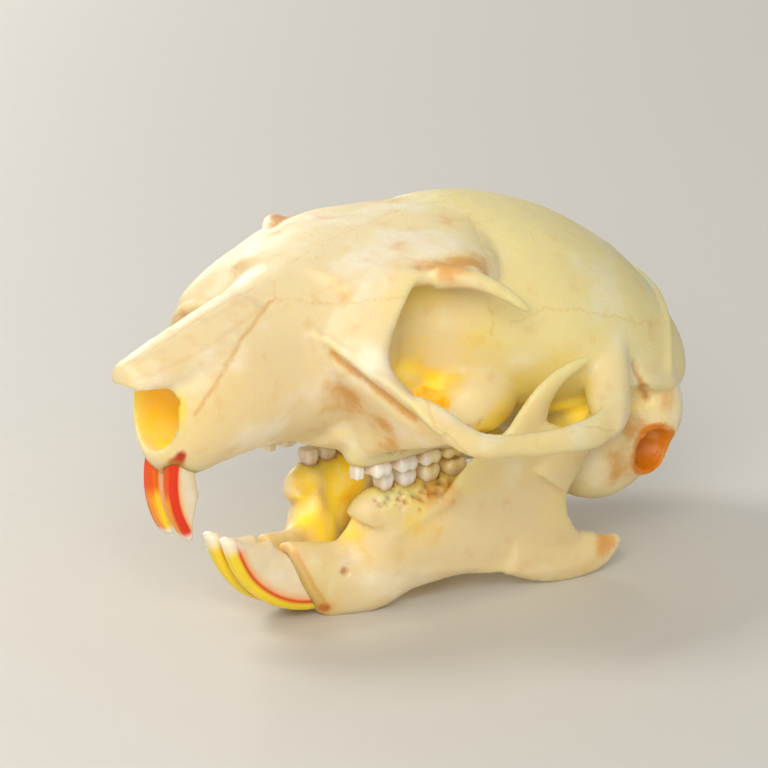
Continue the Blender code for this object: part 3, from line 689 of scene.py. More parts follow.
def thinned(mesh, triangles):
    """The mesh with about this many triangles at most."""
    faces = sum(len(p.vertices) - 2 for p in mesh.polygons)
    if faces <= triangles:
        return mesh

    def modifiers(obj):
        thin = obj.modifiers.new("Thin", "DECIMATE")
        thin.ratio = triangles / faces

    return changed(mesh, modifiers)


def rested(mesh):
    """The mesh with what passes below the resting surface worn flat."""
    bm = bmesh.new()
    bm.from_mesh(mesh)
    geometry = bm.verts[:] + bm.edges[:] + bm.faces[:]
    bmesh.ops.bisect_plane(bm, geom=geometry, dist=0.00001, plane_no=(0, 0, -1), clear_outer=True)
    bmesh.ops.holes_fill(bm, edges=[e for e in bm.edges if e.is_boundary], sides=0)
    bmesh.ops.triangulate(bm, faces=[f for f in bm.faces if len(f.verts) > 4])
    return mesh_of(bm, mesh.name)


def combined(mesh, other, operation):
    helper = bpy.data.objects.new("helper", other)
    bpy.context.scene.collection.objects.link(helper)

    def modifiers(obj):
        boolean = obj.modifiers.new("Combine", "BOOLEAN")
        boolean.operation = operation
        boolean.solver = "EXACT"
        boolean.use_self = False
        boolean.object = helper

    result = changed(mesh, modifiers)
    bpy.data.objects.remove(helper)
    return result


def refined(mesh, lines, reach):
    """The mesh with smaller faces along the given lines."""
    places = [place for line in lines for place in smooth_rows(line, 12)]
    tree = KDTree(len(places))
    for i, place in enumerate(places):
        tree.insert(place, i)
    tree.balance()
    bm = bmesh.new()
    bm.from_mesh(mesh)
    near = {vert for vert in bm.verts if tree.find(vert.co)[2] < reach}
    edges = [edge for edge in bm.edges if edge.verts[0] in near and edge.verts[1] in near]
    bmesh.ops.subdivide_edges(bm, edges=edges, cuts=1)
    bmesh.ops.triangulate(bm, faces=[f for f in bm.faces if len(f.verts) > 4])
    return mesh_of(bm, mesh.name)


def joined(meshes, name):
    """Several meshes as one."""
    bm = bmesh.new()
    for mesh in meshes:
        bm.from_mesh(mesh)
    return mesh_of(bm, name)


def surface(mesh):
    """The mesh's surface, for rays and for the place on it nearest to a point."""
    return BVHTree.FromPolygons(
        [v.co.copy() for v in mesh.vertices], [tuple(p.vertices) for p in mesh.polygons]
    )


# Relief and marks laid over the skin


class Skin:
    """A mesh's points and normals, and the heights and marks that are laid over them."""

    def __init__(self, mesh):
        self.mesh = mesh
        self.count = len(mesh.vertices)
        self.read()
        self.tree = KDTree(self.count)
        for i, place in enumerate(self.places):
            self.tree.insert(place, i)
        self.tree.balance()
        self.marks = {}
        self.height = np.zeros(self.count)
        self.walls = surface(mesh)

    def read(self):
        places = np.empty(self.count * 3)
        normals = np.empty(self.count * 3)
        self.mesh.vertices.foreach_get("co", places)
        self.mesh.vertices.foreach_get("normal", normals)
        self.places = places.reshape(-1, 3)
        self.normals = normals.reshape(-1, 3)

    def mark(self, name):
        return self.marks.setdefault(name, np.zeros(self.count))

    def evened(self, values, rounds):
        """The values with each one drawn towards those around it."""
        edges = np.empty(len(self.mesh.edges) * 2, dtype=np.int32)
        self.mesh.edges.foreach_get("vertices", edges)
        first, second = edges[0::2], edges[1::2]
        links = np.maximum(1, np.bincount(edges, minlength=self.count))
        for _ in range(rounds):
            total = np.bincount(first, weights=values[second], minlength=self.count)
            total += np.bincount(second, weights=values[first], minlength=self.count)
            values = 0.5 * values + 0.5 * total / links
        return values

    def laid(self, line, wander=0.0, wave=1.0):
        """A line given by a few places as many close places on the skin, wandering to either side."""
        out = []
        for row in smooth_rows(line, 40):
            place = Vector(row)
            stray = noise.noise_vector(place / wave) * wander
            out.append(self.walls.find_nearest(place + stray)[0])
        return out

    def strip(self, line, width, wander=0.0, wave=1.0):
        """How near each point is to a line on the skin: 1 on it, falling to 0 at the width."""
        best = np.full(self.count, width * 2.0)
        last = None
        for place in self.laid(line, wander, wave):
            if last is not None and (place - last).length < 0.07:
                continue
            last = place
            for _, index, distance in self.tree.find_range(place, width * 2.0):
                if distance < best[index]:
                    best[index] = distance
        return np.exp(-(best / width) ** 2 * 2.0) - math.exp(-8.0)

    def spot(self, place, radius):
        """1 at a place on the skin, falling to 0 over the radius."""
        out = np.zeros(self.count)
        centre = self.walls.find_nearest(Vector(place))[0]
        for _, index, distance in self.tree.find_range(centre, radius):
            out[index] = (1 - (distance / radius) ** 2) ** 2
        return out

    def patch(self, patches, sides=(1, -1)):
        """Lays patches of colour on the skin."""
        for name, spots in patches.items():
            mark = self.mark(name)
            for x, y, z, reach, strength in spots:
                for side in sides:
                    mark[:] = np.maximum(mark, self.spot((side * x, y, z), reach) * strength)

    def within(self, name, form, strength=1.0):
        """Marks the skin that lines a rounded hollow on both sides of the skull."""
        centre, half = np.array(form[:3]), np.array(form[3:]) + LINING
        places = np.abs(self.places) * (1, 0, 0) + self.places * (0, 1, 1)
        far = np.linalg.norm((places - centre) / half, axis=1)
        mark = self.mark(name)
        mark[:] = np.maximum(mark, np.clip((1.15 - far) / 0.15, 0, 1) * strength)

    def within_sections(self, name, rows, strength=1.0):
        """Marks the skin that lines the inner part of a hollow given by sections across the skull."""
        rows = np.array(smooth_rows(rows))
        y = self.places[:, 1]
        width, floor, level, roof = (np.interp(y, rows[:, 0], rows[:, i]) for i in (1, 2, 3, 4))
        up = self.places[:, 2] - level
        tall = np.where(up > 0, roof - level, level - floor)
        far = np.hypot(self.places[:, 0] / (width + LINING), up / (tall + LINING))
        depth = np.clip((y - rows[0, 0] - NOSE_SHINE_START) / NOSE_SHINE_EASE, 0, 1)
        depth = depth * (y < rows[-1, 0] + 1)
        mark = self.mark(name)
        mark[:] = np.maximum(mark, np.clip((1.1 - far) / 0.1, 0, 1) * depth * strength)

    def beside(self, name, meshes, reach):
        """Marks the skin close to the given teeth."""
        mark = self.mark(name)
        for mesh in meshes:
            tree = surface(mesh)
            middle = sum((v.co for v in mesh.vertices), Vector()) / len(mesh.vertices)
            size = max((v.co - middle).length for v in mesh.vertices)
            for _, index, _ in self.tree.find_range(middle, size + reach):
                distance = tree.find_nearest(Vector(self.places[index]), reach)[3]
                if distance is not None:
                    mark[index] = max(mark[index], 1 - distance / reach)

    def rough(self, size, strength, seed=0.0):
        """Uneven ground of this size."""
        shift = Vector((seed, -seed, seed * 0.5))
        values = [noise.fractal(Vector(p) / size + shift, 1.0, 2.0, 3) for p in self.places]
        self.height += strength * np.array(values)

    def shelter(self, walls, reach=8.0, rays=10):
        """The share of the sky over each point that other bone takes away."""
        golden = math.pi * (3 - math.sqrt(5))
        sky = []
        for i in range(rays):
            up = math.sqrt(1 - (i + 0.5) / rays)
            out = math.sqrt(1 - up * up)
            sky.append((out * math.cos(i * golden), out * math.sin(i * golden), up))
        turns = np.random.default_rng(7).random(self.count) * 2 * math.pi
        values = np.zeros(self.count)
        for i in range(self.count):
            normal = Vector(self.normals[i])
            start = Vector(self.places[i]) + normal * 0.3
            right = normal.orthogonal().normalized()
            ahead = normal.cross(right)
            cos, sin = math.cos(turns[i]), math.sin(turns[i])
            right, ahead = right * cos + ahead * sin, ahead * cos - right * sin
            total = 0.0
            for a, b, c in sky:
                distance = walls.ray_cast(start, right * a + ahead * b + normal * c, reach)[3]
                if distance is not None:
                    total += 1 - distance / reach * 0.6
            values[i] = total / rays
        return self.evened(values, 4)

    def thinness(self):
        """1 where the bone is under half a millimetre thick, 0 where it is over two and a half."""
        values = np.zeros(self.count)
        for i in range(self.count):
            normal = Vector(self.normals[i])
            start = Vector(self.places[i]) - normal * 0.05
            distance = self.walls.ray_cast(start, -normal, 3.0)[3]
            values[i] = 3.0 if distance is None else distance
        return self.evened(np.clip((2.5 - values) / 2.0, 0, 1), 6)

    def finish(self):
        """Moves the skin by its height and keeps the marks as attributes."""
        moved = self.places + self.normals * self.height[:, None]
        self.mesh.vertices.foreach_set("co", moved.ravel())
        self.mesh.update()
        for name, values in self.marks.items():
            attribute = self.mesh.attributes.new(name, "FLOAT", "POINT")
            attribute.data.foreach_set("value", np.clip(values, -1, 1).astype(np.float32))


def store(mesh, name, material, node):
    """Keeps a finished mesh in metres as a piece that stands for a node of the model."""
    mesh.transform(Matrix.Translation((0, CENTRE_Y, 0)))
    mesh.transform(Matrix.Scale(MM, 4))
    mesh.materials.clear()
    mesh.materials.append(material)
    mesh.shade_smooth()
    obj = bpy.data.objects.new(name, mesh)
    bpy.context.scene.collection.objects.link(obj)
    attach(obj, BODY)
    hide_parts(node)
    return obj


def on_side(line, side):
    return [(side * x, y, z) for x, y, z in line]


def both_sides(line):
    return [line, on_side(line, -1)]


# Bones


def cranium_forms():
    bm = bmesh.new()
    for rows in (BRAINCASE, ROSTRUM, NASALS, FRONTAL_ROOF, SKULL_BASE, PALATE):
        across(bm, rows)
    for side in (1, -1):
        slices(bm, CHEEK_PLATE, side)
        slices(bm, ARCH_ROOT, side)
        for rows in (CHEEK_ARCH, BROW_SPUR, EAR_RIDGE, PALATE_WING, UPPER_TOOTH_BED):
            sweep(bm, rows, side)
        for rows in (NAPE_CREST, NAPE_SPUR):
            sweep(bm, rows, side, tall_axis=Vector((0, 1, 0)))
        for form in (EAR_BULLA, MASTOID, NECK_CONDYLE, TEMPLE_BULGE, EAR_TUBE):
            ball(bm, form, side)
    return mesh_of(bm, "cranium")


def cranium_hollows():
    """What is open in the bone: nose, brain's space, ears, throat and the larger nerve holes."""
    bm = bmesh.new()
    across(bm, NOSE_HOLLOW)
    space = [
        (y, width - WALL, floor + 2 * WALL, level, roof - WALL)
        for y, width, floor, level, roof in BRAINCASE[2:-2]
    ]
    across(bm, space)
    for form in (NAPE_HOLE, THROAT_HOLLOW, PALATE_HOLLOW):
        ball(bm, form)
    for side in (1, -1):
        for form in (EAR_HOLE, JAW_SOCKET, SNOUT_NERVE_HOLE, *EYE_VESSEL_HOLES):
            ball(bm, form, side)
    return mesh_of(bm, "hollows")


def dentary_forms(side):
    front_to_back = Vector((0, 1, 0))
    bm = bmesh.new()
    sweep(bm, JAW_BODY, side, upright=True)
    for rows in (LOWER_TOOTH_BED, JAW_ANGLE):
        sweep(bm, rows, side)
    slices(bm, JAW_PLATE, side)
    sweep(bm, CORONOID_HOOK, side, tall_axis=front_to_back)
    sweep(bm, CONDYLE_NECK, side, tall_axis=front_to_back)
    ball(bm, JAW_CONDYLE, side)
    return mesh_of(bm, "dentary")


def spongy(skin, line, width, strength):
    """Open, pitted bone along the row of sockets."""
    band = skin.strip(line, width)
    skin.mark("spongy")[:] = np.maximum(skin.mark("spongy"), band * strength)
    seeds = np.random.default_rng(int(width * 100) + len(line))
    places = skin.laid(line)
    for _ in range(SPONGY_PITS):
        middle = places[int(seeds.integers(len(places)))]
        stray = Vector(seeds.normal(0, width * 0.5, 3))
        radius = 0.16 + 0.22 * seeds.random()
        pit = skin.spot(middle + stray, radius)
        skin.height -= pit * radius * 0.7
        # Painted shade darkens some of the pits
        skin.mark("deep")[:] = np.maximum(skin.mark("deep"), pit * seeds.random() * 0.8)


def worn_seam(skin, run, wear, wave, relief):
    """A shallow, wandering groove with some dirt in it."""
    width, wander, depth, dirt = wear
    strip = skin.strip(run, width, wander, wave)
    skin.height -= strip * depth * relief
    skin.mark("seam")[:] = np.maximum(skin.mark("seam"), strip * dirt)


def cranium_relief(skin, relief):
    amber = skin.mark("amber")
    # Beige on the snout, cream on the braincase
    skin.mark("tone")[:] = np.clip((skin.places[:, 1] + 14) / 20, 0, 1)
    skin.rough(3.4, 0.06 * relief, 3.0)
    skin.rough(0.9, 0.016 * relief, 11.0)
    seams = list(zip(NOSE_SEAMS, NOSE_SEAM_WEAR))
    seams += [(line, ROOF_SEAM_WEAR) for line in ROOF_SEAMS]
    seams += [(line, FINE_SEAM_WEAR) for line in ARCH_SEAMS + UNDER_SEAMS]
    for line, wear in seams:
        for run in both_sides(line):
            worn_seam(skin, run, wear, 0.7, relief)
    worn_seam(skin, MIDLINE_SEAM, MIDLINE_SEAM_WEAR, 0.6, relief)
    for line, width, height in CRANIUM_RIDGES:
        for run in both_sides(line):
            skin.height += skin.strip(run, width, 0.1, 2.0) * height * relief
    for line, width, depth in CRANIUM_GROOVES:
        for run in both_sides(line):
            strip = skin.strip(run, width, 0.1, 2.0)
            skin.height -= strip * depth * relief
            # Painted shade: each groove is tinted amber along its run
            amber[:] = np.maximum(amber, strip)
    for run in both_sides(UPPER_SPONGY_LINE):
        spongy(skin, run, 1.0, 1.0)
    skin.patch(CRANIUM_PATCHES)
    # Painted light in the linings of the nose, the jaw's socket and the eye's vessel holes; painted shade in
    # the ear hole and the eye's vessel holes
    skin.within_sections("glow", NOSE_HOLLOW, 0.62)
    skin.within("deep", EAR_HOLE)
    skin.within("glow", JAW_SOCKET, 0.6)
    for form in EYE_VESSEL_HOLES:
        skin.within("glow", form, 0.8)
        skin.within("deep", form, 0.5)


def dentary_relief(skin, side, relief):
    deep = skin.mark("deep")
    # Beige at the bottom, creamier towards the top
    skin.mark("tone")[:] = np.clip((skin.places[:, 2] - 6) / 12, 0, 0.6)
    skin.rough(2.8, 0.05 * relief, 5.0 + side)
    skin.rough(0.9, 0.014 * relief, 17.0)
    for line, width, height in JAW_RIDGES:
        skin.height += skin.strip(on_side(line, side), width, 0.1, 2.0) * height * relief
    seam = skin.mark("seam")
    seam[:] = np.maximum(seam, skin.strip(on_side(LIP_SEAM, side), LIP_SEAM_WIDTH, 0.1, 0.6))
    hole = skin.spot(on_side([CHIN_HOLE], side)[0], CHIN_HOLE_RADIUS)
    skin.height -= hole * CHIN_HOLE_DEPTH
    # Painted shade in the chin's nerve hole
    deep[:] = np.maximum(deep, hole * 0.8)
    spongy(skin, on_side(LOWER_SPONGY_LINE, side), 0.8, 0.9)
    skin.patch(DENTARY_PATCHES, (side,))


# Teeth


def incisor_mesh(tooth, side, swell=0.0, count=48, sides=40):
    """A tooth curved along an arc, worn to a chisel edge at its outer, enamelled face."""
    cy, cz = tooth["centre"]
    rings = []
    for i in range(count + 1):
        share = i / count
        turn = math.radians(tooth["tip"] + (tooth["root"] - tooth["tip"]) * share)
        out = Vector((0, math.cos(turn), math.sin(turn)))
        wear = min(1.0, 0.2 + tooth["wear"] * share)
        taper = 1.0 - 0.2 * max(0.0, share - 0.5)
        depth = tooth["depth"] * wear * taper + 2 * swell
        width = tooth["width"] * (0.86 + 0.14 * min(1.0, 5 * share)) * taper + 2 * swell
        outer = tooth["radius"] + tooth["depth"] / 2 + swell
        aside = tooth["x"] + tooth["splay"] * max(0.0, share - LEAN_START)
        middle = Vector((side * aside, cy, cz)) + out * (outer - depth / 2)
        rings.append([
            middle
            + Vector((width / 2 * math.copysign(abs(math.cos(a)) ** INCISOR_SQUARENESS, math.cos(a)), 0, 0))
            + out * (depth / 2 * math.copysign(abs(math.sin(a)) ** INCISOR_SQUARENESS, math.sin(a)))
            for a in angles(sides)
        ])
    bm = bmesh.new()
    loft(bm, rings)
    bmesh.ops.triangulate(bm, faces=[f for f in bm.faces if len(f.verts) > 4])
    return mesh_of(bm, "incisor")


def incisor_marks(mesh, tooth, side):
    """Keeps on each point how deep it lies behind the enamel, how far from the tip and how far aside."""
    cy, cz = tooth["centre"]
    skin = Skin(mesh)
    dy = skin.places[:, 1] - cy
    dz = skin.places[:, 2] - cz
    turn = np.degrees(np.arctan2(dz, dy)) % 360
    share = (turn - tooth["tip"]) / (tooth["root"] - tooth["tip"])
    outer = tooth["radius"] + tooth["depth"] / 2
    middle = tooth["x"] + tooth["splay"] * np.maximum(0.0, share - LEAN_START)
    skin.mark("along")[:] = share
    skin.mark("inward")[:] = (outer - np.hypot(dy, dz)) / tooth["depth"]
    skin.mark("aside")[:] = (skin.places[:, 0] * side - middle) / (tooth["width"] / 2)
    skin.rough(1.1, 0.012, side * 4.0)
    skin.finish()


def tooth_width(length, width):
    return min(width, length * 1.1)


def cheek_tooth_mesh(x, y, length, width, up, side, cuts=13, swell=0.0, rounding=2):
    """A low crown with two cusps on its cheek side, one on its tongue side, and ridges across its basin."""
    bm = bmesh.new()
    bmesh.ops.create_cube(bm, size=2.0)
    bmesh.ops.subdivide_edges(bm, edges=bm.edges[:], cuts=cuts, use_grid_fill=True)
    wide = tooth_width(length, width) / 2
    long = length / 2
    for vert in bm.verts:
        u, v, w = vert.co
        far = max(abs(u), abs(v))
        if far > 1e-6:
            ease = (abs(u) ** TOOTH_SQUARENESS + abs(v) ** TOOTH_SQUARENESS) ** (1 / TOOTH_SQUARENESS)
            u, v = u * far / ease, v * far / ease
        height = np.interp(w, TOOTH_STATIONS, TOOTH_LEVELS)
        spread = float(np.interp(w, TOOTH_STATIONS, TOOTH_SPREAD))
        out = side * u
        furrow = SIDE_FURROW * math.exp(-((v / 0.2) ** 2)) * min(1.0, max(0.0, w + 0.3))
        if w > 0.55:
            top = (w - 0.55) / 0.45
            cusps = CHEEK_CUSPS * math.exp(-((out - 0.66) ** 2) / 0.12) * (
                math.exp(-((v - 0.5) ** 2) / 0.10) + math.exp(-((v + 0.5) ** 2) / 0.10)
            )
            cusps += TONGUE_CUSP * math.exp(-((out + 0.6) ** 2) / 0.14 - (v**2) / 0.3)
            ridges = CROSS_RIDGES * math.cos(v * 3.2 * math.pi) * math.exp(-(out**2) / 0.3)
            height += top * (cusps + ridges - BASIN_DEPTH) * length / 2.1
        vert.co = Vector((
            side * x + u * (wide * spread * (1 - furrow) + swell),
            y + v * (long * spread + swell),
            BITE_Z + up * (height - TOOTH_CROWN - BITE_GAP + swell * w),
        ))
    for _ in range(rounding):
        bmesh.ops.smooth_vert(
            bm, verts=bm.verts[:], factor=0.5, use_axis_x=True, use_axis_y=True, use_axis_z=True
        )
    return mesh_of(bm, "cheek_tooth")


def cheek_tooth_marks(mesh, x, y, length, up):
    """Keeps on each point how high on the crown it lies, how near the next tooth, and how far back."""
    skin = Skin(mesh)
    crown = (skin.places[:, 2] - BITE_Z) * up + TOOTH_CROWN
    skin.mark("crown")[:] = np.clip(crown / TOOTH_CROWN, 0, 1)
    skin.mark("between")[:] = np.clip(np.abs(skin.places[:, 1] - y) / (length / 2), 0, 1)
    skin.mark("rear")[:] = np.clip((skin.places[:, 1] + 4.5) / 5, 0, 1)
    skin.rough(0.5, 0.02, x + y)
    skin.finish()


# Finishes


def add(tree, kind, inputs=None, **settings):
    """Adds one node. Its inputs are values, or the outputs of other nodes that feed them."""
    node = tree.nodes.new(kind)
    for key, value in settings.items():
        setattr(node, key, value)
    for key, value in (inputs or {}).items():
        if isinstance(value, bpy.types.NodeSocket):
            tree.links.new(value, node.inputs[key])
        else:
            node.inputs[key].default_value = value
    return node


def new_material(name):
    material = bpy.data.materials.new(name)
    material.use_nodes = True
    tree = material.node_tree
    return material, tree, tree.nodes["Principled BSDF"]


def mixed(tree, share, first, second):
    """One colour laid over another by a share."""
    node = add(tree, "ShaderNodeMix", {0: share, 6: first, 7: second}, data_type="RGBA")
    return node.outputs[2]


def cut_off(tree, value, low, high, start=0.0, end=1.0):
    """A value eased from start to end as it goes from low to high."""
    node = add(
        tree, "ShaderNodeMapRange",
        {"Value": value, "From Min": low, "From Max": high, "To Min": start, "To Max": end},
        interpolation_type="SMOOTHSTEP",
    )
    return node.outputs["Result"]


def opaque(colour):
    return (*colour, 1.0)


def speckle(tree, place, scale, detail):
    """Soft, uneven noise over the given places."""
    node = add(tree, "ShaderNodeTexNoise", {"Vector": place, "Scale": scale, "Detail": detail})
    return node.outputs["Fac"]


def marks_on_skin(tree, *names):
    """The marks kept on a mesh, by their names."""
    return {name: add(tree, "ShaderNodeAttribute", attribute_name=name).outputs["Fac"] for name in names}


def bone_material(colours):
    """Dry, degreased bone, cleaned in water and not varnished, with a soft sheen.

    Painted light stands for light soaking through: thin walls turn yellow, glow marks shine a little in
    their own colour.
    """
    material, tree, shader = new_material("Dry bone")
    place = add(tree, "ShaderNodeTexCoord").outputs["Object"]
    marks = marks_on_skin(
        tree, "tone", "recess", "thin", "seam", "amber", "glow", "deep", "red", "spongy"
    )
    clouds = speckle(tree, place, 210.0, 3.0)
    blots = speckle(tree, place, 620.0, 4.0)
    grain = speckle(tree, place, 5200.0, 3.0)
    pores = add(tree, "ShaderNodeTexVoronoi", {"Vector": place, "Scale": 2600.0}).outputs["Distance"]
    uneven = cut_off(tree, blots, 0.3, 0.7, 0.55, 1.15)

    def blotted(mark, high):
        ragged = add(tree, "ShaderNodeMath", {0: mark, 1: uneven}, operation="MULTIPLY").outputs[0]
        return cut_off(tree, ragged, 0.0, high)

    colour = mixed(tree, marks["tone"], opaque(colours.beige), opaque(colours.cream))
    colour = mixed(tree, cut_off(tree, clouds, 0.50, 0.70, 0.0, 0.7), colour, opaque(colours.white))
    colour = mixed(tree, cut_off(tree, blots, 0.54, 0.78, 0.0, 0.25), colour, opaque(colours.amber))
    # Painted light: thin walls are tinted yolk, as if lit through from the far side
    colour = mixed(tree, cut_off(tree, marks["thin"], 0.1, 1.0, 0.0, 0.3), colour, opaque(colours.yolk))
    # Painted light: the more other bone hides a point's sky, the yellower it is painted, as bounced light in
    # the hollows
    colour = mixed(tree, cut_off(tree, marks["recess"], 0.22, 0.50, 0.0, 0.85), colour, opaque(colours.yolk))
    colour = mixed(tree, cut_off(tree, marks["recess"], 0.55, 0.90, 0.0, 0.8), colour, opaque(colours.glow))
    # Painted light: the glow marks are painted bright yellow, as bone lit through from behind
    colour = mixed(tree, blotted(marks["glow"], 0.9), colour, opaque(colours.glow))
    # Amber is partly stain and partly painted shade: in the grooves, under the cheek plate, on the brow and
    # crown, and round the ear
    tint_share = cut_off(tree, blotted(marks["amber"], 1.1), 0.0, 1.0, 0.0, 0.75)
    colour = mixed(tree, tint_share, colour, opaque(colours.amber))
    # Painted shade: the pores of spongy bone are darkened to deep orange
    holes = cut_off(tree, pores, 0.18, 0.34, 0.55, 0.0)
    sponge = add(tree, "ShaderNodeMath", {0: marks["spongy"], 1: holes}, operation="MULTIPLY").outputs[0]
    colour = mixed(tree, sponge, colour, opaque(colours.deep))
    # Painted shade: holes and pits are darkened to deep orange
    colour = mixed(tree, blotted(marks["deep"], 0.9), colour, opaque(colours.deep))
    colour = mixed(tree, cut_off(tree, marks["red"], 0.05, 0.8), colour, opaque(colours.red))
    colour = mixed(tree, cut_off(tree, marks["seam"], 0.0, 1.0, 0.0, 0.7), colour, opaque(colours.seam))
    tree.links.new(colour, shader.inputs["Base Color"])
    # Painted glow: the glow marks shine a little in the bone's own colour, though nothing lights them
    tree.links.new(colour, shader.inputs["Emission Color"])
    tree.links.new(cut_off(tree, marks["glow"], 0.4, 1.0, 0.0, 0.4), shader.inputs["Emission Strength"])
    tree.links.new(cut_off(tree, blots, 0.3, 0.7, 0.36, 0.52), shader.inputs["Roughness"])
    pitted = add(
        tree, "ShaderNodeMath", {0: holes, 1: marks["spongy"], 2: cut_off(tree, grain, 0.2, 0.8)},
        operation="MULTIPLY_ADD",
    ).outputs[0]
    bump = add(tree, "ShaderNodeBump", {"Height": pitted, "Strength": 0.35, "Distance": 0.00006})
    tree.links.new(bump.outputs["Normal"], shader.inputs["Normal"])
    shader.inputs["IOR"].default_value = 1.5
    shader.inputs["Subsurface Weight"].default_value = 0.8
    shader.inputs["Subsurface Radius"].default_value = (1.0, 0.65, 0.2)
    shader.inputs["Subsurface Scale"].default_value = 0.0013
    return material


def upper_incisor_colour(tree, marks, stripes, colours):
    """Red to the outer edge, paler to the tooth beside it, darkest where it leaves the bone."""
    ragged = add(
        tree, "ShaderNodeMath", {0: stripes, 1: 0.8, 2: marks["aside"]}, operation="MULTIPLY_ADD"
    ).outputs[0]
    colour = mixed(tree, cut_off(tree, ragged, -0.5, 0.0), opaque(colours.yellow), opaque(colours.orange))
    colour = mixed(tree, cut_off(tree, ragged, 0.4, 0.9), colour, opaque(colours.red))
    return mixed(tree, cut_off(tree, marks["along"], 0.45, 0.65, 0.0, 0.8), colour, opaque(colours.red))


def lower_incisor_colour(tree, marks, stripes, colours):
    """Yellow, with a thin orange-red line where the enamel ends."""
    streaks = cut_off(tree, stripes, 0.45, 0.8, 0.0, 0.4)
    colour = mixed(tree, streaks, opaque(colours.yellow), opaque(colours.orange))
    return mixed(tree, cut_off(tree, marks["inward"], 0.11, 0.2), colour, opaque(colours.red))


def incisor_material(colours, name, front_colour, edge):
    """Rodent enamel with iron in it over ivory dentine, ground by use: glossy orange front, paler sides."""
    material, tree, shader = new_material(name)
    place = add(tree, "ShaderNodeTexCoord").outputs["Object"]
    marks = marks_on_skin(tree, "along", "inward", "aside")
    across_face = add(tree, "ShaderNodeCombineXYZ", {"X": marks["aside"], "Y": marks["along"]}).outputs[0]
    stretch = add(tree, "ShaderNodeMapping", {"Vector": across_face, "Scale": (3.2, 1.6, 1.0)}).outputs[0]
    stripes = speckle(tree, stretch, 1.6, 3.0)
    blots = speckle(tree, place, 900.0, 3.0)
    front = cut_off(tree, marks["inward"], edge - 0.04, edge + 0.04, 1.0, 0.0)
    colour = front_colour(tree, marks, stripes, colours)
    side = mixed(tree, cut_off(tree, blots, 0.4, 0.7, 0.0, 0.5), opaque(colours.ivory), opaque(colours.tip))
    tint_share = cut_off(tree, marks["inward"], edge, edge + 0.18, 0.6, 0.0)
    side = mixed(tree, tint_share, side, opaque(colours.orange))
    colour = mixed(tree, front, side, colour)
    colour = mixed(tree, cut_off(tree, marks["along"], 0.02, 0.12, 0.85, 0.0), colour, opaque(colours.tip))
    tree.links.new(colour, shader.inputs["Base Color"])
    tree.links.new(cut_off(tree, front, 0.0, 1.0, 0.36, 0.24), shader.inputs["Roughness"])
    bump = add(tree, "ShaderNodeBump", {"Height": stripes, "Strength": 0.25, "Distance": 0.00005})
    tree.links.new(bump.outputs["Normal"], shader.inputs["Normal"])
    shader.inputs["IOR"].default_value = 1.55
    shader.inputs["Specular IOR Level"].default_value = 0.35
    shader.inputs["Subsurface Weight"].default_value = 0.2
    shader.inputs["Subsurface Radius"].default_value = (1.0, 0.5, 0.2)
    shader.inputs["Subsurface Scale"].default_value = 0.0005
    return material


def cheek_tooth_material(colours):
    """Tooth enamel, worn smooth: cool and glassy on the crown, stained at its neck and between the teeth."""
    material, tree, shader = new_material("Cheek tooth enamel")
    place = add(tree, "ShaderNodeTexCoord").outputs["Object"]
    marks = marks_on_skin(tree, "crown", "between", "rear")
    blots = speckle(tree, place, 1300.0, 4.0)
    ragged = add(tree, "ShaderNodeMath", {0: marks["rear"], 1: blots}, operation="MULTIPLY").outputs[0]
    worn = cut_off(tree, blots, 0.35, 0.7, 0.0, 0.6)
    colour = mixed(tree, worn, opaque(colours.enamel), opaque(colours.tip))
    colour = mixed(tree, cut_off(tree, ragged, 0.1, 0.5, 0.0, 0.95), colour, opaque(colours.rear))
    neck = cut_off(tree, marks["crown"], 0.0, 0.5, 0.5, 0.0)
    colour = mixed(tree, neck, colour, opaque(colours.tartar))
    edges = cut_off(tree, marks["between"], 0.75, 1.0, 0.0, 0.35)
    colour = mixed(tree, edges, colour, opaque(colours.tartar))
    tree.links.new(colour, shader.inputs["Base Color"])
    tree.links.new(cut_off(tree, blots, 0.3, 0.7, 0.22, 0.38), shader.inputs["Roughness"])
    shader.inputs["IOR"].default_value = 1.6
    shader.inputs["Subsurface Weight"].default_value = 0.4
    shader.inputs["Subsurface Radius"].default_value = (1.0, 0.7, 0.4)
    shader.inputs["Subsurface Scale"].default_value = 0.001
    return material


# Operators


def bare_bones(settings):
    """The cranium and both halves of the jaw before any relief, in millimetres."""
    voxel = settings.grain / MM
    hollows = fused(cranium_hollows(), voxel, smoothing=5)
    whole = fused(cranium_forms(), voxel, smoothing=8)
    cranium = fused(combined(whole, hollows, "DIFFERENCE"), voxel, smoothing=3)
    dentaries = {side: rested(fused(dentary_forms(side), voxel, smoothing=7)) for side in (1, -1)}
    return cranium, dentaries


def bone_walls(bones):
    """All the bones, coarse, as something that rays can meet."""
    return surface(joined([thinned(bone.copy(), WALL_TRIANGLES) for bone in bones], "walls"))


def seated(mesh, seats):
    """The bone with its teeth's sockets cut into it."""
    return combined(mesh, joined(seats, "seats"), "DIFFERENCE")


def incisor_seat(tooth, side):
    return incisor_mesh(tooth, side, swell=SOCKET_GAP / 2, count=16, sides=20)


def row_of(upper):
    return UPPER_CHEEK_TEETH if upper else LOWER_CHEEK_TEETH


def cheek_tooth_seats(side, upper):
    width = UPPER_TOOTH_WIDTH if upper else LOWER_TOOTH_WIDTH
    up = -1 if upper else 1
    return [
        cheek_tooth_mesh(x, y, length, width, up, side, cuts=4, swell=SOCKET_GAP, rounding=0)
        for _, x, y, length in row_of(upper)
    ]


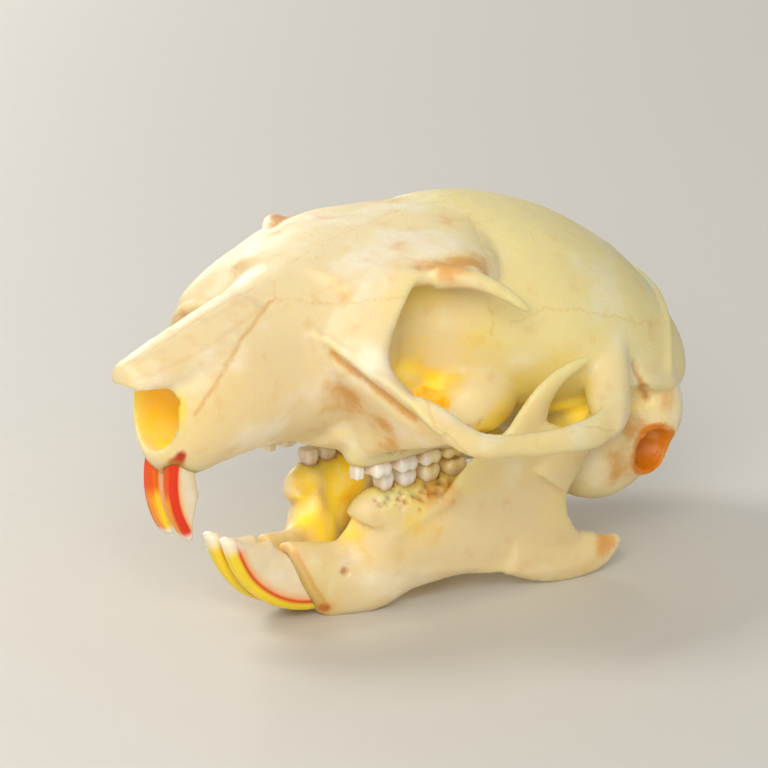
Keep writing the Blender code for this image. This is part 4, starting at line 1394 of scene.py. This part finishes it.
class SKULL_OT_bones(bpy.types.Operator):
    """Grows the cranium and the two halves of the lower jaw, with their sockets, seams, ridges and pits"""

    bl_idname = "skull.bones"
    bl_label = "Grow the bones"
    bl_options = {"REGISTER", "UNDO"}

    def execute(self, context):
        settings = context.scene.skull_bone
        bone = bone_material(settings)
        cranium, dentaries = bare_bones(settings)
        walls = bone_walls([cranium, *dentaries.values()])
        seats = []
        for side in (1, -1):
            seats += [incisor_seat(UPPER_INCISOR, side), *cheek_tooth_seats(side, True)]
        lines = [run for line in NOSE_SEAMS + ROOF_SEAMS + ARCH_SEAMS for run in both_sides(line)]
        cranium = refined(thinned(cranium, settings.triangles), [*lines, MIDLINE_SEAM], 0.9)
        cranium = seated(cranium, seats)
        skin = Skin(cranium)
        skin.mark("recess")[:] = skin.shelter(walls)
        skin.mark("thin")[:] = skin.thinness()
        skin.beside("seam", seats, 0.5)
        cranium_relief(skin, settings.relief)
        skin.finish()
        store(cranium, "cranium_bone", bone, "cranium")
        for side, dentary in dentaries.items():
            seats = [incisor_seat(LOWER_INCISOR, side), *cheek_tooth_seats(side, False)]
            dentary = seated(dentary, seats)
            skin = Skin(dentary)
            skin.mark("recess")[:] = skin.shelter(walls)
            skin.mark("thin")[:] = skin.thinness()
            skin.beside("seam", seats[:1], 1.3)
            skin.beside("seam", seats[1:], 0.4)
            dentary_relief(skin, side, settings.relief)
            skin.finish()
            where = "left" if side > 0 else "right"
            store(dentary, f"{where}_dentary_bone", bone, f"{where}_dentary")
        return {"FINISHED"}


class SKULL_OT_incisors(bpy.types.Operator):
    """Curves the four gnawing teeth, with orange enamel on their fronts"""

    bl_idname = "skull.incisors"
    bl_label = "Curve the incisors"
    bl_options = {"REGISTER", "UNDO"}

    def execute(self, context):
        colours = context.scene.skull_tooth
        upper = incisor_material(colours, "Orange upper enamel", upper_incisor_colour, 0.2)
        lower = incisor_material(colours, "Yellow lower enamel", lower_incisor_colour, 0.22)
        for side in (1, -1):
            where = "left" if side > 0 else "right"
            for jaw, tooth, material in (("upper", UPPER_INCISOR, upper), ("lower", LOWER_INCISOR, lower)):
                mesh = incisor_mesh(tooth, side)
                incisor_marks(mesh, tooth, side)
                node = f"{jaw}_{where}_incisor"
                store(mesh, f"{node}_enamel", material, node)
        return {"FINISHED"}


class SKULL_OT_cheek_teeth(bpy.types.Operator):
    """Shapes the eighteen cheek teeth with their cusps and ridges"""

    bl_idname = "skull.cheek_teeth"
    bl_label = "Shape the cheek teeth"
    bl_options = {"REGISTER", "UNDO"}

    def execute(self, context):
        enamel = cheek_tooth_material(context.scene.skull_tooth)
        for side in (1, -1):
            where = "left" if side > 0 else "right"
            for upper in (True, False):
                jaw = "upper" if upper else "lower"
                up = -1 if upper else 1
                width = UPPER_TOOTH_WIDTH if upper else LOWER_TOOTH_WIDTH
                for name, x, y, length in row_of(upper):
                    mesh = cheek_tooth_mesh(x, y, length, width, up, side)
                    cheek_tooth_marks(mesh, x, y, length, up)
                    node = f"{jaw}_{where}_{name}"
                    store(mesh, f"{node}_crown", enamel, node)
        return {"FINISHED"}


class SKULL_OT_stage(bpy.types.Operator):
    """Lays the pale floor, hangs the lamps and sets the camera"""

    bl_idname = "skull.stage"
    bl_label = "Set the stage"
    bl_options = {"REGISTER", "UNDO"}

    def execute(self, context):
        stage = context.scene.skull_stage
        lay_floor(stage)
        hang_lamps(context.scene, stage)
        set_camera(context.scene, stage)
        return {"FINISHED"}


def lay_floor(stage):
    """A matt, pale painted board, far larger than the view."""
    bm = bmesh.new()
    bmesh.ops.create_grid(bm, x_segments=2, y_segments=2, size=FLOOR_REACH)
    floor = bpy.data.objects.new("floor", mesh_of(bm, "floor"))
    bpy.context.scene.collection.objects.link(floor)
    material, tree, shader = new_material("Matt floor paint")
    place = add(tree, "ShaderNodeTexCoord").outputs["Object"]
    grain = speckle(tree, place, 900.0, 2.0)
    shader.inputs["Base Color"].default_value = opaque(stage.floor)
    tree.links.new(cut_off(tree, grain, 0.3, 0.7, 0.55, 0.65), shader.inputs["Roughness"])
    floor.data.materials.append(material)


def aim(obj, place, target):
    obj.location = place
    obj.rotation_euler = (target - place).to_track_quat("-Z", "Y").to_euler()


def view_axes(stage):
    """The directions towards the camera, to its right and up in its picture."""
    a, e = stage.azimuth, stage.elevation
    back = Vector((math.sin(a) * math.cos(e), -math.cos(a) * math.cos(e), math.sin(e)))
    right = Vector((math.cos(a), math.sin(a), 0))
    return back, right, back.cross(right)


def hang_lamps(scene, stage):
    """A soft lamp high on the snout's side, a wide one by the camera, and one behind that rims the crown."""
    back, right, up = view_axes(stage)
    middle = Vector((0, 0, LIT_HEIGHT))
    for name, ((aside, above, near), size, share, colour) in LAMPS.items():
        data = bpy.data.lights.new(name, "AREA")
        data.shape = "DISK"
        data.size = size
        data.energy = stage.lamp * share
        data.color = colour
        lamp = bpy.data.objects.new(name, data)
        scene.collection.objects.link(lamp)
        aim(lamp, middle + (right * aside + up * above + back * near), middle)
    world = bpy.data.worlds.new("Studio")
    world.use_nodes = True
    background = world.node_tree.nodes["Background"]
    background.inputs["Color"].default_value = (1.0, 0.99, 0.97, 1.0)
    background.inputs["Strength"].default_value = 0.4
    scene.world = world
    scene.view_settings.view_transform = "Standard"


def set_camera(scene, stage):
    back, _, _ = view_axes(stage)
    target = Vector(CAMERA_TARGET)
    data = bpy.data.cameras.new("camera")
    data.sensor_width = 36.0
    data.lens = stage.lens
    data.clip_start = 0.01
    data.clip_end = 10.0
    camera = bpy.data.objects.new("camera", data)
    scene.collection.objects.link(camera)
    aim(camera, target + back * stage.distance, target)
    scene.camera = camera


class SKULL_PT_panel(bpy.types.Panel):
    """Lists the skull's settings and steps in the sidebar"""

    bl_idname = "SKULL_PT_panel"
    bl_label = "Squirrel skull"
    bl_space_type = "VIEW_3D"
    bl_region_type = "UI"
    bl_category = "Skull"

    def draw(self, context):
        for settings in (context.scene.skull_bone, context.scene.skull_tooth, context.scene.skull_stage):
            box = self.layout.box()
            for name in settings.__annotations__:
                box.prop(settings, name)
        for operator in OPERATORS:
            self.layout.operator(operator.bl_idname)


OPERATORS = (SKULL_OT_bones, SKULL_OT_incisors, SKULL_OT_cheek_teeth, SKULL_OT_stage)
SETTINGS = (SkullBoneSettings, SkullToothSettings, SkullStageSettings)


def register():
    for kind in (*SETTINGS, *OPERATORS, SKULL_PT_panel):
        bpy.utils.register_class(kind)
    bpy.types.Scene.skull_bone = PointerProperty(type=SkullBoneSettings)
    bpy.types.Scene.skull_tooth = PointerProperty(type=SkullToothSettings)
    bpy.types.Scene.skull_stage = PointerProperty(type=SkullStageSettings)


def unregister():
    del bpy.types.Scene.skull_bone
    del bpy.types.Scene.skull_tooth
    del bpy.types.Scene.skull_stage
    for kind in (SKULL_PT_panel, *reversed(OPERATORS), *reversed(SETTINGS)):
        bpy.utils.unregister_class(kind)


def main():
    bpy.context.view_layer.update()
    register()
    bpy.ops.skull.bones()
    bpy.ops.skull.incisors()
    bpy.ops.skull.cheek_teeth()
    bpy.ops.skull.stage()


if __name__ == "__main__":
    main()
